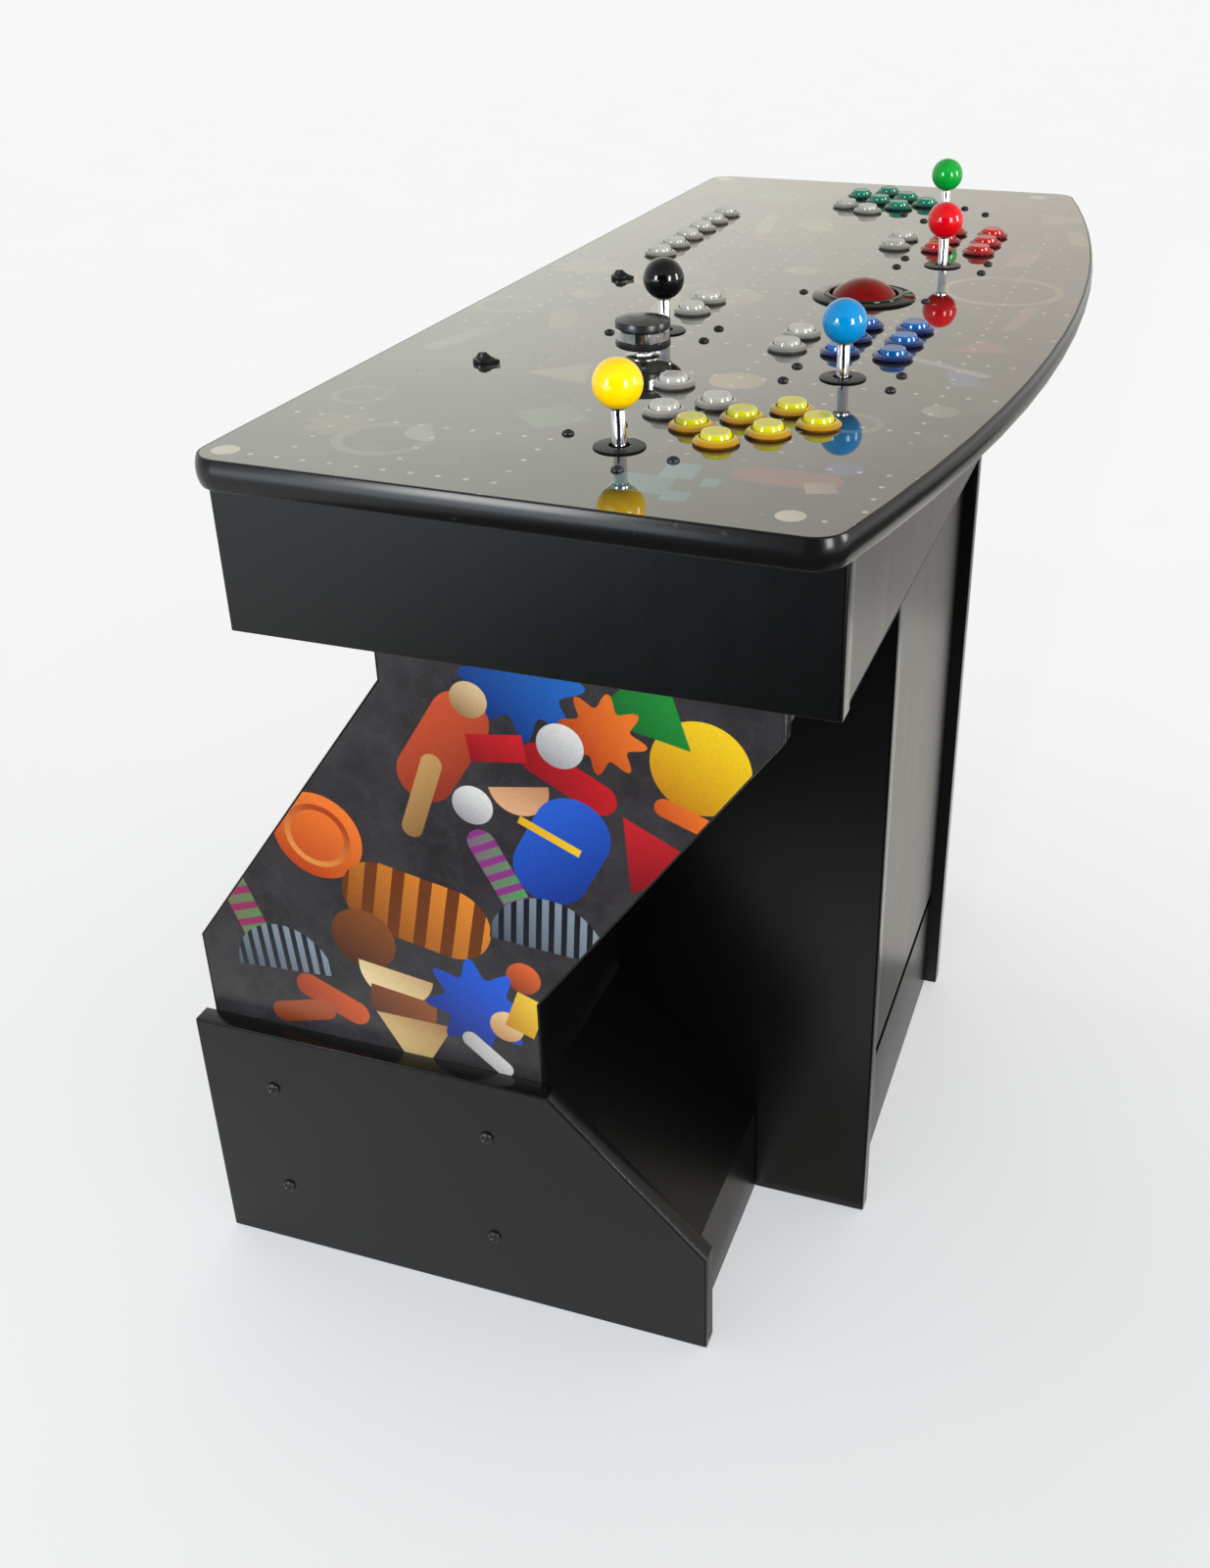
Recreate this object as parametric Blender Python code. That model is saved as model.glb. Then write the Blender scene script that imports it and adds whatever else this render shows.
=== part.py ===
"""Arcade control cabinet for several players: a wide control deck on a box, a column and a Z-shaped leg.

Metres, +Z up. X runs along the deck, -Y is the players' side, and the origin is at the
middle of the footprint, on the floor. Left means -X.
"""
import math

import bmesh
import bpy
from mathutils import Matrix, Vector

# Overall sizes
DECK_TOP = 0.9226
DECK_HALF_LENGTH = 0.587
DECK_FLARE = 0.010
DECK_DEPTH = 0.533
DECK_BOW = 0.075
DECK_CORNER = 0.026
BASE_BEHIND_DECK = 0.2055

# Sheet stock and gaps
BOARD = 0.019
PANEL = 0.016
ACRYLIC = 0.003
EDGE_PROUD = 0.0035
SEAM = 0.0003

# Control box under the deck
BOX_HEIGHT = 0.1122
BOX_END_OVERHANG = 0.0165
BOX_REAR_OVERHANG = 0.0087
BOX_FRONT_SETBACK = 0.0742
BOX_PANEL_INSET = 0.001

# Leg: two Z-shaped boards with bent panels between them
LEG_HALF_WIDTH = 0.4176
LEG_TOP_FRONT_SETBACK = 0.1538
LEG_DEPTH = 0.3485
LEG_SWEEP = 0.2243
LEG_NECK = 0.111
LEG_SKIRT = 0.367
LEG_PANEL_INSET = 0.0025

# Base: a cheek outside each leg board and a sloped kick panel between the cheeks
CHEEK_HEIGHT = 0.2745
CHEEK_FRONT_HEIGHT = 0.118
CHEEK_SLOPE_RUN = 0.1526
CHEEK_FOOT = 0.1656
CHEEK_REAR_MARGIN = 0.0122
KICK_INSET = 0.015

# Column: two side boards, a plinth and a hinged door
COLUMN_HALF_WIDTH = 0.216
COLUMN_PROUD_OF_LEG = 0.046
PLINTH_HEIGHT = 0.128
PLINTH_INSET = 0.013
DOOR_INSET = 0.011
DOOR_FINGER_GAP = 0.022
DOOR_TOP_GAP = 0.0025
DOOR_EDGE_GAP = 0.0015
HINGE_LEAF = 0.0028
HINGE_PIN_RADIUS = 0.0022
HINGE_RUN = 0.0005

# Push buttons
BUTTON_RADIUS = 0.0115
BUTTON_PROUD = 0.0085
BUTTON_STEM = 0.016
BUTTON_RUN = 0.0005
BUTTON_BEVEL = 0.0012
BUTTON_SIDES = 16

# Joysticks
BALL_RADIUS = 0.0175
BALL_CENTRE = 0.0446
SHAFT_RADIUS = 0.005
SHAFT_TAIL = 0.028
PIVOT_DROP = 0.010
PIVOT_BALL_RADIUS = 0.008
GIMBAL_RADIUS = 0.0125
GIMBAL_HALF_HEIGHT = 0.0035
STICK_RUN = 0.0004
STICK_TILT = math.radians(7.0)

# Trackball and its bezel ring
TRACKBALL_RADIUS = 0.0381
RING_OPENING_RADIUS = 0.03225
RING_WIDTH = 0.016
RING_HEIGHT = 0.003
TRACKBALL_RUN = 0.0005
TRACKBALL_HOLE_RUN = 0.0014
TRACKBALL_SIDES = 24

# Spinner and pointer knobs
SPINNER_RADIUS = 0.0225
SPINNER_LIFT = 0.0085
SPINNER_HEIGHT = 0.0245
SPINNER_DOME = 0.0028
POINTER_RADIUS = 0.0085
POINTER_REACH = 0.0145
POINTER_LIFT = 0.0012
POINTER_HEIGHT = 0.0068
KNOB_SHAFT_RADIUS = 0.0032
KNOB_SHAFT_TAIL = 0.026
KNOB_RUN = 0.0005

# Levels and lines that follow from the sizes above
DECK_HALF_FRONT = DECK_HALF_LENGTH + DECK_FLARE
BOARD_TOP = DECK_TOP - ACRYLIC - SEAM
BOARD_BOTTOM = BOARD_TOP - BOARD
BOX_BOTTOM = BOARD_BOTTOM - BOX_HEIGHT
BASE_REAR = (DECK_DEPTH + BASE_BEHIND_DECK) / 2
DECK_REAR = BASE_REAR - BASE_BEHIND_DECK
BOX_REAR = DECK_REAR - BOX_REAR_OVERHANG
BOX_FRONT = DECK_REAR - DECK_DEPTH + BOX_FRONT_SETBACK
BOX_HALF = DECK_HALF_LENGTH - BOX_END_OVERHANG
LEG_TOP_FRONT = DECK_REAR - DECK_DEPTH + LEG_TOP_FRONT_SETBACK
LEG_FOOT_FRONT = BASE_REAR - CHEEK_REAR_MARGIN - LEG_DEPTH
COLUMN_FRONT = LEG_TOP_FRONT - COLUMN_PROUD_OF_LEG
COLUMN_INNER = COLUMN_HALF_WIDTH - BOARD
DOOR_FACE = COLUMN_FRONT + DOOR_INSET
DOOR_BOTTOM = PLINTH_HEIGHT + DOOR_FINGER_GAP
DOOR_TOP = BOX_BOTTOM - DOOR_TOP_GAP
HINGE_X = -COLUMN_INNER + SEAM + HINGE_LEAF + HINGE_RUN

# Stations: share of the half length from the middle, share of the depth from the rear edge,
# and how far the player is turned from facing the rear
STATIONS = {
    "yellow": {"across": -0.7933, "ahead": 0.5141, "turn": math.radians(-45)},
    "black": {"across": -0.2908, "ahead": 0.3752, "turn": 0.0},
    "blue": {"across": -0.4432, "ahead": 0.7129, "turn": 0.0},
    "red": {"across": 0.2570, "ahead": 0.7129, "turn": 0.0},
    "green": {"across": 0.6975, "ahead": 0.6248, "turn": math.radians(45)},
}
# Button places to the right of the stick and ahead of it
BUTTON_GRIDS = {
    "yellow": {"first": 0.063, "pitch": 0.041, "rows": (0.016, -0.0225)},
    "blue": {"first": 0.068, "pitch": 0.045, "rows": (0.019, -0.025)},
    "red": {"first": 0.068, "pitch": 0.045, "rows": (0.019, -0.025)},
    "green": {"first": 0.056, "pitch": 0.041, "rows": (0.027, -0.012)},
}
GRID_COLUMNS = 3
TRACKBALL_PLACE = (0.0007, 0.6285)
SPINNER_PLACE = (-0.4231, 0.3940)
POINTER_PLACES = {"left": (-0.5219, 0.1782), "right": (-0.0027, 0.1745)}

COLOURS = {
    "yellow": (0.85, 0.62, 0.03),
    "black": (0.012, 0.012, 0.013),
    "blue": (0.01, 0.05, 0.45),
    "red": (0.55, 0.01, 0.01),
    "green": (0.0, 0.20, 0.11),
}


def clear_scene():
    """Take every object out of the scene that the script starts in."""
    for old in list(bpy.data.objects):
        bpy.data.objects.remove(old, do_unlink=True)


def look(name, colour, roughness, metallic=0.0):
    """Return a plain material with the part's colour, roughness and metallic value."""
    material = bpy.data.materials.new(name)
    material.use_nodes = True
    shader = material.node_tree.nodes["Principled BSDF"]
    shader.inputs["Base Color"].default_value = (*colour, 1.0)
    shader.inputs["Roughness"].default_value = roughness
    shader.inputs["Metallic"].default_value = metallic
    return material


def laminate(name):
    """Return the black satin laminate that covers the boards."""
    return look(name, (0.022, 0.023, 0.023), 0.42)


def deck_point(across, ahead):
    """Return the (x, y) of a place given as shares of the deck's half length and depth."""
    return Vector((across * DECK_HALF_FRONT, DECK_REAR - ahead * DECK_DEPTH))


def rounded(corners, steps=6):
    """Return an outline with arcs in place of the corners that have a radius.

    Each corner is (a, b) or (a, b, radius).
    """
    outline = []
    count = len(corners)
    for index, corner in enumerate(corners):
        here = Vector(corner[:2])
        radius = corner[2] if len(corner) > 2 else 0.0
        if radius <= 0.0:
            outline.append(here)
            continue
        back = (Vector(corners[index - 1][:2]) - here).normalized()
        forth = (Vector(corners[(index + 1) % count][:2]) - here).normalized()
        half = back.angle(forth) / 2
        centre = here + (back + forth).normalized() * radius / math.sin(half)
        start = here + back * radius / math.tan(half) - centre
        sweep = start.angle_signed(here + forth * radius / math.tan(half) - centre)
        for step in range(steps + 1):
            turn = Matrix.Rotation(-sweep * step / steps, 2)
            outline.append(centre + turn @ start)
    return outline


def arc(centre, radius, start, end, steps):
    """Return points on an arc, angles in degrees."""
    angles = [math.radians(start + (end - start) * step / steps) for step in range(steps + 1)]
    return [Vector((centre[0] + radius * math.cos(a), centre[1] + radius * math.sin(a))) for a in angles]


def offset_path(path, distance):
    """Return an open path moved sideways, to its left for a positive distance, with mitred bends."""
    points = [Vector(point) for point in path]
    sides = []
    for start, end in zip(points, points[1:]):
        along = (end - start).normalized()
        sides.append(Vector((-along.y, along.x)))
    moved = [points[0] + sides[0] * distance]
    for point, before, after in zip(points[1:], sides, sides[1:]):
        mitre = (before + after).normalized()
        moved.append(point + mitre * distance / mitre.dot(before))
    moved.append(points[-1] + sides[-1] * distance)
    return moved


def strip(path, thickness):
    """Return the outline of a sheet whose outer side is the path, its body to the path's left."""
    return [Vector(point) for point in path] + offset_path(path, thickness)[::-1]


def finish(name, mesh_builder, material, origin=(0.0, 0.0, 0.0), smooth=False):
    """Turn a bmesh in world coordinates into a named object whose origin is at the given place."""
    bmesh.ops.recalc_face_normals(mesh_builder, faces=mesh_builder.faces)
    bmesh.ops.translate(mesh_builder, verts=mesh_builder.verts, vec=-Vector(origin))
    mesh = bpy.data.meshes.new(name)
    mesh_builder.to_mesh(mesh)
    mesh_builder.free()
    if smooth:
        mesh.shade_smooth()
        mesh.set_sharp_from_angle(angle=math.radians(35))
    piece = bpy.data.objects.new(name, mesh)
    piece.location = origin
    mesh.materials.append(material)
    bpy.context.scene.collection.objects.link(piece)
    return piece


def prism(outline, axis, start, end):
    """Return a bmesh with the outline extruded from start to end along X, Y or Z."""
    place = {
        "X": lambda point: (start, point[0], point[1]),
        "Y": lambda point: (point[0], start, point[1]),
        "Z": lambda point: (point[0], point[1], start),
    }[axis]
    span = {"X": (end - start, 0, 0), "Y": (0, end - start, 0), "Z": (0, 0, end - start)}[axis]
    builder = bmesh.new()
    base = builder.faces.new([builder.verts.new(place(point)) for point in outline])
    grown = bmesh.ops.extrude_face_region(builder, geom=[base])["geom"]
    top = [item for item in grown if isinstance(item, bmesh.types.BMVert)]
    bmesh.ops.translate(builder, verts=top, vec=span)
    return builder


def plate(name, outline, axis, start, end, material, origin=(0.0, 0.0, 0.0)):
    """Make a flat piece: an outline extruded along one axis."""
    return finish(name, prism(outline, axis, start, end), material, origin)


def box(name, low, high, material):
    """Make a rectangular board from its low and high corners."""
    outline = [(low[0], low[1]), (high[0], low[1]), (high[0], high[1]), (low[0], high[1])]
    return plate(name, outline, "Z", low[2], high[2], material)


def turned(name, profile, centre, sides, material, closed=False):
    """Make a round piece about a vertical axis from (radius, height) points about its centre.

    A closed profile makes a ring; an open one starts and ends on the axis.
    """
    builder = bmesh.new()
    verts = [builder.verts.new((radius, 0.0, height)) for radius, height in profile]
    pairs = list(zip(verts, verts[1:]))
    if closed:
        pairs.append((verts[-1], verts[0]))
    edges = [builder.edges.new(pair) for pair in pairs]
    bmesh.ops.spin(builder, geom=verts + edges, axis=(0, 0, 1), cent=(0, 0, 0),
                   angle=math.tau, steps=sides, use_merge=True)
    bmesh.ops.remove_doubles(builder, verts=builder.verts, dist=1e-6)
    bmesh.ops.translate(builder, verts=builder.verts, vec=centre)
    return finish(name, builder, material, centre, smooth=True)


def drill(piece, holes, bottom, top):
    """Cut upright round holes, each (x, y, radius, sides), through a flat piece."""
    builder = bmesh.new()
    for x, y, radius, sides in holes:
        bmesh.ops.create_cone(builder, cap_ends=True, segments=sides, radius1=radius, radius2=radius,
                              depth=top - bottom, matrix=Matrix.Translation((x, y, (top + bottom) / 2)))
    cutter = finish(piece.name + ".holes", builder, piece.data.materials[0])
    hide_guide(cutter)
    cut = piece.modifiers.new("holes", "BOOLEAN")
    cut.operation = "DIFFERENCE"
    cut.solver = "EXACT"
    cut.object = cutter


def join(piece, guide):
    """Fuse a hidden guide solid into a piece."""
    hide_guide(guide)
    fuse = piece.modifiers.new("join", "BOOLEAN")
    fuse.operation = "UNION"
    fuse.solver = "EXACT"
    fuse.object = guide


def hide_guide(guide):
    """Keep a cutter or a guide out of the model."""
    guide.hide_render = True
    guide.display_type = "WIRE"


def sphere_profile(radius, height, start, end, steps):
    """Return (radius, height) points on a ball, from one angle below the equator to another."""
    return [(point.x, point.y) for point in arc((0.0, height), radius, start, end, steps)]


def deck_outline(inset):
    """Return the deck's outline, bowed toward the players, moved inward by an inset."""
    sagitta_radius = (DECK_HALF_FRONT ** 2 + DECK_BOW ** 2) / (2 * DECK_BOW)
    centre_y = DECK_REAR - DECK_DEPTH + sagitta_radius
    radius = sagitta_radius - inset
    front_half = DECK_HALF_FRONT - inset
    rear_half = DECK_HALF_LENGTH - inset
    rear = DECK_REAR - inset
    reach = math.degrees(math.asin(front_half / radius))
    bow = arc((0.0, centre_y), radius, -90 - reach, -90 + reach, 16)
    corner = DECK_CORNER - inset
    corners = [(-rear_half, rear, corner), (*bow[0], corner)]
    corners += [tuple(point) for point in bow[1:-1]]
    corners += [(*bow[-1], corner), (rear_half, rear, corner)]
    return rounded(corners)


def station_frame(name):
    """Return a station's stick place and its player's right and forward directions."""
    station = STATIONS[name]
    base = deck_point(station["across"], station["ahead"])
    turn = Matrix.Rotation(station["turn"], 2)
    return base, turn @ Vector((1, 0)), turn @ Vector((0, 1))


def button_places(name):
    """Return the (x, y) places of a station's coloured push buttons."""
    base, right, ahead = station_frame(name)
    grid = BUTTON_GRIDS[name]
    places = []
    for row in grid["rows"]:
        for column in range(GRID_COLUMNS):
            across = grid["first"] + column * grid["pitch"]
            places.append(base + right * across + ahead * row)
    return places


def deck_holes(stick_radius):
    """Return the holes that the overlay and the board share, with a radius for the sticks' own."""
    holes = []
    for name in STATIONS:
        holes.append((*station_frame(name)[0], stick_radius, BUTTON_SIDES))
    for name in BUTTON_GRIDS:
        for place in button_places(name):
            holes.append((*place, BUTTON_RADIUS + BUTTON_RUN, BUTTON_SIDES))
    holes.append((*deck_point(*TRACKBALL_PLACE), TRACKBALL_RADIUS + TRACKBALL_HOLE_RUN,
                  TRACKBALL_SIDES))
    for place in (SPINNER_PLACE, *POINTER_PLACES.values()):
        holes.append((*deck_point(*place), KNOB_SHAFT_RADIUS + KNOB_RUN, 12))
    return holes


def build_deck():
    """Make the deck board, its clear overlay and the soft band round its edge."""
    band_inner = deck_outline(EDGE_PROUD)
    sheet = deck_outline(EDGE_PROUD + SEAM)
    board = plate("deck_board", sheet, "Z", BOARD_BOTTOM, BOARD_TOP, laminate("deck_board"))
    drill(board, deck_holes(GIMBAL_RADIUS + STICK_RUN), BOARD_BOTTOM - BOARD, DECK_TOP + BOARD)
    clear = look("acrylic_overlay", (0.50, 0.50, 0.48), 0.06)
    overlay = plate("acrylic_overlay", sheet, "Z", BOARD_TOP + SEAM, DECK_TOP, clear)
    lean = math.atan(math.sqrt(2.0) * math.tan(STICK_TILT))
    shaft_hole = SHAFT_RADIUS / math.cos(lean) + PIVOT_DROP * math.tan(lean) + STICK_RUN
    drill(overlay, deck_holes(shaft_hole), BOARD_BOTTOM - BOARD, DECK_TOP + BOARD)
    builder = prism(deck_outline(0.0), "Z", BOARD_BOTTOM, DECK_TOP)
    band = finish("edge_molding", builder, look("edge_molding", (0.012, 0.012, 0.012), 0.35))
    core = plate("edge_molding.core", band_inner, "Z", BOARD_BOTTOM - BOARD, DECK_TOP + BOARD,
                 laminate("edge_molding.core"))
    hide_guide(core)
    cut = band.modifiers.new("core", "BOOLEAN")
    cut.operation = "DIFFERENCE"
    cut.solver = "EXACT"
    cut.object = core


def build_box():
    """Make the shallow box that carries the deck: two ends, a front, a rear and a floor."""
    top = BOARD_BOTTOM - SEAM
    inner = BOX_HALF - BOARD
    front = BOX_FRONT + BOX_PANEL_INSET
    rear = BOX_REAR - BOX_PANEL_INSET
    for name, side in (("left", -1), ("right", 1)):
        low, high = sorted((side * BOX_HALF, side * inner))
        box(f"box_{name}_panel", (low, BOX_FRONT, BOX_BOTTOM), (high, BOX_REAR, top),
            laminate(f"box_{name}_panel"))
    reach = inner - SEAM
    box("box_front_panel", (-reach, front, BOX_BOTTOM), (reach, front + PANEL, top),
        laminate("box_front_panel"))
    box("box_rear_panel", (-reach, rear - PANEL, BOX_BOTTOM), (reach, rear, top),
        laminate("box_rear_panel"))
    box("box_floor", (-reach, front + PANEL + SEAM, BOX_BOTTOM),
        (reach, rear - PANEL - SEAM, BOX_BOTTOM + PANEL), laminate("box_floor"))


def leg_path(front_at_foot, inset):
    """Return the leg's front or rear line, foot to top, moved by an inset toward the rear."""
    top = BOX_BOTTOM - SEAM
    sweep = front_at_foot - LEG_SWEEP
    path = [(front_at_foot, 0.0), (front_at_foot, LEG_SKIRT), (sweep, top - LEG_NECK), (sweep, top)]
    return offset_path(path, -inset)


def build_leg():
    """Make the two Z-shaped boards and the bent front and rear panels between them."""
    front = leg_path(LEG_FOOT_FRONT, 0.0)
    rear = leg_path(LEG_FOOT_FRONT + LEG_DEPTH, 0.0)
    outline = rear + front[::-1]
    for name, side in (("left", -1), ("right", 1)):
        low, high = sorted((side * LEG_HALF_WIDTH, side * (LEG_HALF_WIDTH - BOARD)))
        plate(f"leg_{name}_board", outline, "X", low, high, laminate(f"leg_{name}_board"))
    reach = LEG_HALF_WIDTH - BOARD - SEAM
    front_sheet = strip(leg_path(LEG_FOOT_FRONT, LEG_PANEL_INSET), -PANEL)
    plate("leg_front_panel", front_sheet, "X", -reach, reach, laminate("leg_front_panel"))
    rear_sheet = strip(leg_path(LEG_FOOT_FRONT + LEG_DEPTH, -LEG_PANEL_INSET), PANEL)
    plate("leg_rear_panel", rear_sheet, "X", -reach, reach, laminate("leg_rear_panel"))


def cheek_corners():
    """Return the base cheek's front foot, front top and slope top as (y, z) points."""
    front = LEG_FOOT_FRONT - CHEEK_FOOT
    return [Vector((front, 0.0)), Vector((front, CHEEK_FRONT_HEIGHT)),
            Vector((front + CHEEK_SLOPE_RUN, CHEEK_HEIGHT))]


def kick_path(reach_y):
    """Return the kick panel's outer line from the floor up its slope, as far as a given y."""
    foot, knee, top = offset_path(cheek_corners(), -KICK_INSET)
    climb = (top.y - knee.y) / (top.x - knee.x)
    return [foot, knee, Vector((reach_y, knee.y + climb * (reach_y - knee.x)))]


def build_base():
    """Make the cheeks outside the leg and the kick panel between them."""
    foot, knee, slope_top = cheek_corners()
    outline = [foot, knee, slope_top, (BASE_REAR, CHEEK_HEIGHT), (BASE_REAR, 0.0)]
    inner = LEG_HALF_WIDTH + SEAM
    for name, side in (("left", -1), ("right", 1)):
        low, high = sorted((side * inner, side * (inner + BOARD)))
        plate(f"base_{name}_cheek", outline, "X", low, high, laminate(f"base_{name}_cheek"))
    path = kick_path(LEG_FOOT_FRONT - SEAM)
    plate("base_kick_panel", kick_sheet(path), "X", -LEG_HALF_WIDTH, LEG_HALF_WIDTH,
          laminate("base_kick_panel"))


def kick_sheet(path):
    """Return the kick panel's outline, with its upper end cut upright against the leg."""
    foot, knee, top = path
    back_foot, back_knee, back_top = offset_path(path, -PANEL)
    climb = (back_top.y - back_knee.y) / (back_top.x - back_knee.x)
    back_end = Vector((top.x, back_knee.y + climb * (top.x - back_knee.x)))
    return [foot, knee, top, back_end, back_knee, back_foot]


def build_column():
    """Make the column's side boards, its plinth and the hinged door between them."""
    kick = kick_path(LEG_FOOT_FRONT + LEG_PANEL_INSET)
    leg = leg_path(LEG_FOOT_FRONT, LEG_PANEL_INSET)
    rear = offset_path(kick + leg[1:], SEAM)
    outline = [(COLUMN_FRONT, rear[0].y), *rear, (COLUMN_FRONT, rear[-1].y)]
    for name, side in (("left", -1), ("right", 1)):
        low, high = sorted((side * COLUMN_HALF_WIDTH, side * COLUMN_INNER))
        plate(f"column_{name}_board", outline, "X", low, high, laminate(f"column_{name}_board"))
    reach = COLUMN_INNER - SEAM
    plinth_front = COLUMN_FRONT + PLINTH_INSET
    box("column_plinth", (-reach, plinth_front, 0.0), (reach, plinth_front + PANEL, PLINTH_HEIGHT),
        laminate("column_plinth"))
    build_door()


def build_door():
    """Make the column's door, whose edge wraps the pin of a full-height hinge on the left."""
    pin = Vector((HINGE_X, DOOR_FACE))
    back = DOOR_FACE + PANEL
    right = COLUMN_INNER - DOOR_EDGE_GAP
    groove = arc(pin, HINGE_PIN_RADIUS + HINGE_RUN, 90, 0, 6)
    door = [*groove, (right, DOOR_FACE), (right, back), (HINGE_X, back)]
    plate("column_door", door, "Z", DOOR_BOTTOM, DOOR_TOP, laminate("column_door"),
          origin=(HINGE_X, DOOR_FACE, DOOR_BOTTOM))
    fixed = -COLUMN_INNER + SEAM
    leaf = fixed + HINGE_LEAF
    hinge = [(fixed, back), (fixed, DOOR_FACE - HINGE_PIN_RADIUS), *arc(pin, HINGE_PIN_RADIUS, -90, 90, 10),
             (leaf, DOOR_FACE + HINGE_PIN_RADIUS), (leaf, back)]
    plate("column_door_hinge", hinge, "Z", DOOR_BOTTOM, DOOR_TOP,
          look("column_door_hinge", (0.02, 0.02, 0.02), 0.35, 0.6))


def build_buttons():
    """Make the plunger of each station's push buttons; each slides down into the deck."""
    cap = BUTTON_RADIUS - BUTTON_BEVEL
    profile = [(0.0, -BUTTON_STEM), (BUTTON_RADIUS, -BUTTON_STEM),
               (BUTTON_RADIUS, BUTTON_PROUD - BUTTON_BEVEL), (cap, BUTTON_PROUD), (0.0, BUTTON_PROUD)]
    for name in BUTTON_GRIDS:
        for index, place in enumerate(button_places(name), start=1):
            material = look(f"plunger_{name}_{index}", COLOURS[name], 0.15)
            turned(f"plunger_{name}_{index}", profile, (*place, DECK_TOP), BUTTON_SIDES, material)


def stick_profile():
    """Return a stick's (radius, height) points about its pivot, from its tail to its ball's top."""
    boss = math.degrees(math.acos(SHAFT_RADIUS / PIVOT_BALL_RADIUS))
    neck = math.degrees(math.asin(SHAFT_RADIUS / BALL_RADIUS)) - 90
    grip = BALL_CENTRE + PIVOT_DROP
    profile = [(0.0, -SHAFT_TAIL), (SHAFT_RADIUS, -SHAFT_TAIL)]
    profile += sphere_profile(PIVOT_BALL_RADIUS, 0.0, -boss, boss, 4)
    profile += sphere_profile(BALL_RADIUS, grip, neck, 90, 9)[:-1]
    profile.append((0.0, grip + BALL_RADIUS))
    return profile


def build_sticks():
    """Make each joystick and the gimbal ring that lets it lean about two crossed axes."""
    edge = math.sqrt(GIMBAL_RADIUS ** 2 - GIMBAL_HALF_HEIGHT ** 2)
    bore = PIVOT_BALL_RADIUS + STICK_RUN
    ring = [(bore, -GIMBAL_HALF_HEIGHT), (edge, -GIMBAL_HALF_HEIGHT), (GIMBAL_RADIUS, 0.0),
            (edge, GIMBAL_HALF_HEIGHT), (bore, GIMBAL_HALF_HEIGHT)]
    for name in STATIONS:
        pivot = (*station_frame(name)[0], DECK_TOP - PIVOT_DROP)
        metal = look(f"gimbal_{name}", (0.03, 0.03, 0.03), 0.4)
        turned(f"gimbal_{name}", ring, pivot, BUTTON_SIDES, metal, closed=True)
        turned(f"stick_{name}", stick_profile(), pivot, BUTTON_SIDES,
               look(f"stick_{name}", COLOURS[name], 0.12))


def build_trackball():
    """Make the trackball, which turns in place, and the bezel ring that traps it."""
    place = deck_point(*TRACKBALL_PLACE)
    outer = RING_OPENING_RADIUS + RING_WIDTH
    edge = RING_HEIGHT / 3
    low, high = SEAM, SEAM + RING_HEIGHT
    ring = [(RING_OPENING_RADIUS, low), (outer, low), (outer, high - edge), (outer - edge, high),
            (RING_OPENING_RADIUS + edge, high), (RING_OPENING_RADIUS, high - edge)]
    turned("trackball_ring", ring, (*place, DECK_TOP), 32,
           look("trackball_ring", (0.012, 0.012, 0.012), 0.25), closed=True)
    reach = TRACKBALL_RADIUS + TRACKBALL_RUN
    drop = math.sqrt(reach ** 2 - RING_OPENING_RADIUS ** 2) - low
    ball = [(0.0, -TRACKBALL_RADIUS), *sphere_profile(TRACKBALL_RADIUS, 0.0, -90, 90, 14)[1:-1],
            (0.0, TRACKBALL_RADIUS)]
    turned("trackball", ball, (*place, DECK_TOP - drop), TRACKBALL_SIDES,
           look("trackball", (0.22, 0.012, 0.018), 0.06))


def build_spinner():
    """Make the spinner: a drum-shaped knob on a shaft through the deck."""
    top = SPINNER_LIFT + SPINNER_HEIGHT
    bevel = SPINNER_DOME
    profile = [(0.0, -KNOB_SHAFT_TAIL), (KNOB_SHAFT_RADIUS, -KNOB_SHAFT_TAIL),
               (KNOB_SHAFT_RADIUS, SPINNER_LIFT), (SPINNER_RADIUS - bevel, SPINNER_LIFT),
               (SPINNER_RADIUS, SPINNER_LIFT + bevel), (SPINNER_RADIUS, top - 2 * bevel),
               (SPINNER_RADIUS - bevel, top - bevel), (SPINNER_RADIUS / 2, top - bevel / 4), (0.0, top)]
    turned("spinner_knob", profile, (*deck_point(*SPINNER_PLACE), DECK_TOP), 24,
           look("spinner_knob", (0.012, 0.012, 0.013), 0.2))


def build_pointers():
    """Make the two small pointer knobs, each on a shaft through the deck."""
    tangent = math.degrees(math.acos(POINTER_RADIUS / POINTER_REACH))
    for name, share in POINTER_PLACES.items():
        place = deck_point(*share)
        round_side = arc(place, POINTER_RADIUS, -90 + tangent, 270 - tangent, 12)
        outline = [*round_side, place + Vector((0.0, -POINTER_REACH))]
        material = look(f"pointer_knob_{name}", (0.012, 0.012, 0.013), 0.3)
        low = DECK_TOP + POINTER_LIFT
        knob = plate(f"pointer_knob_{name}", outline, "Z", low, low + POINTER_HEIGHT, material,
                     origin=(*place, DECK_TOP))
        half = (DECK_TOP - KNOB_SHAFT_TAIL, low + POINTER_HEIGHT / 2)
        shaft_outline = arc(place, KNOB_SHAFT_RADIUS, 0, 330, 11)
        shaft = plate(f"pointer_knob_{name}.shaft", shaft_outline, "Z", *half, material)
        join(knob, shaft)


def main():
    """Build the cabinet from the floor up."""
    clear_scene()
    build_base()
    build_leg()
    build_column()
    build_box()
    build_deck()
    build_sticks()
    build_buttons()
    build_trackball()
    build_spinner()
    build_pointers()


main()
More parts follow.
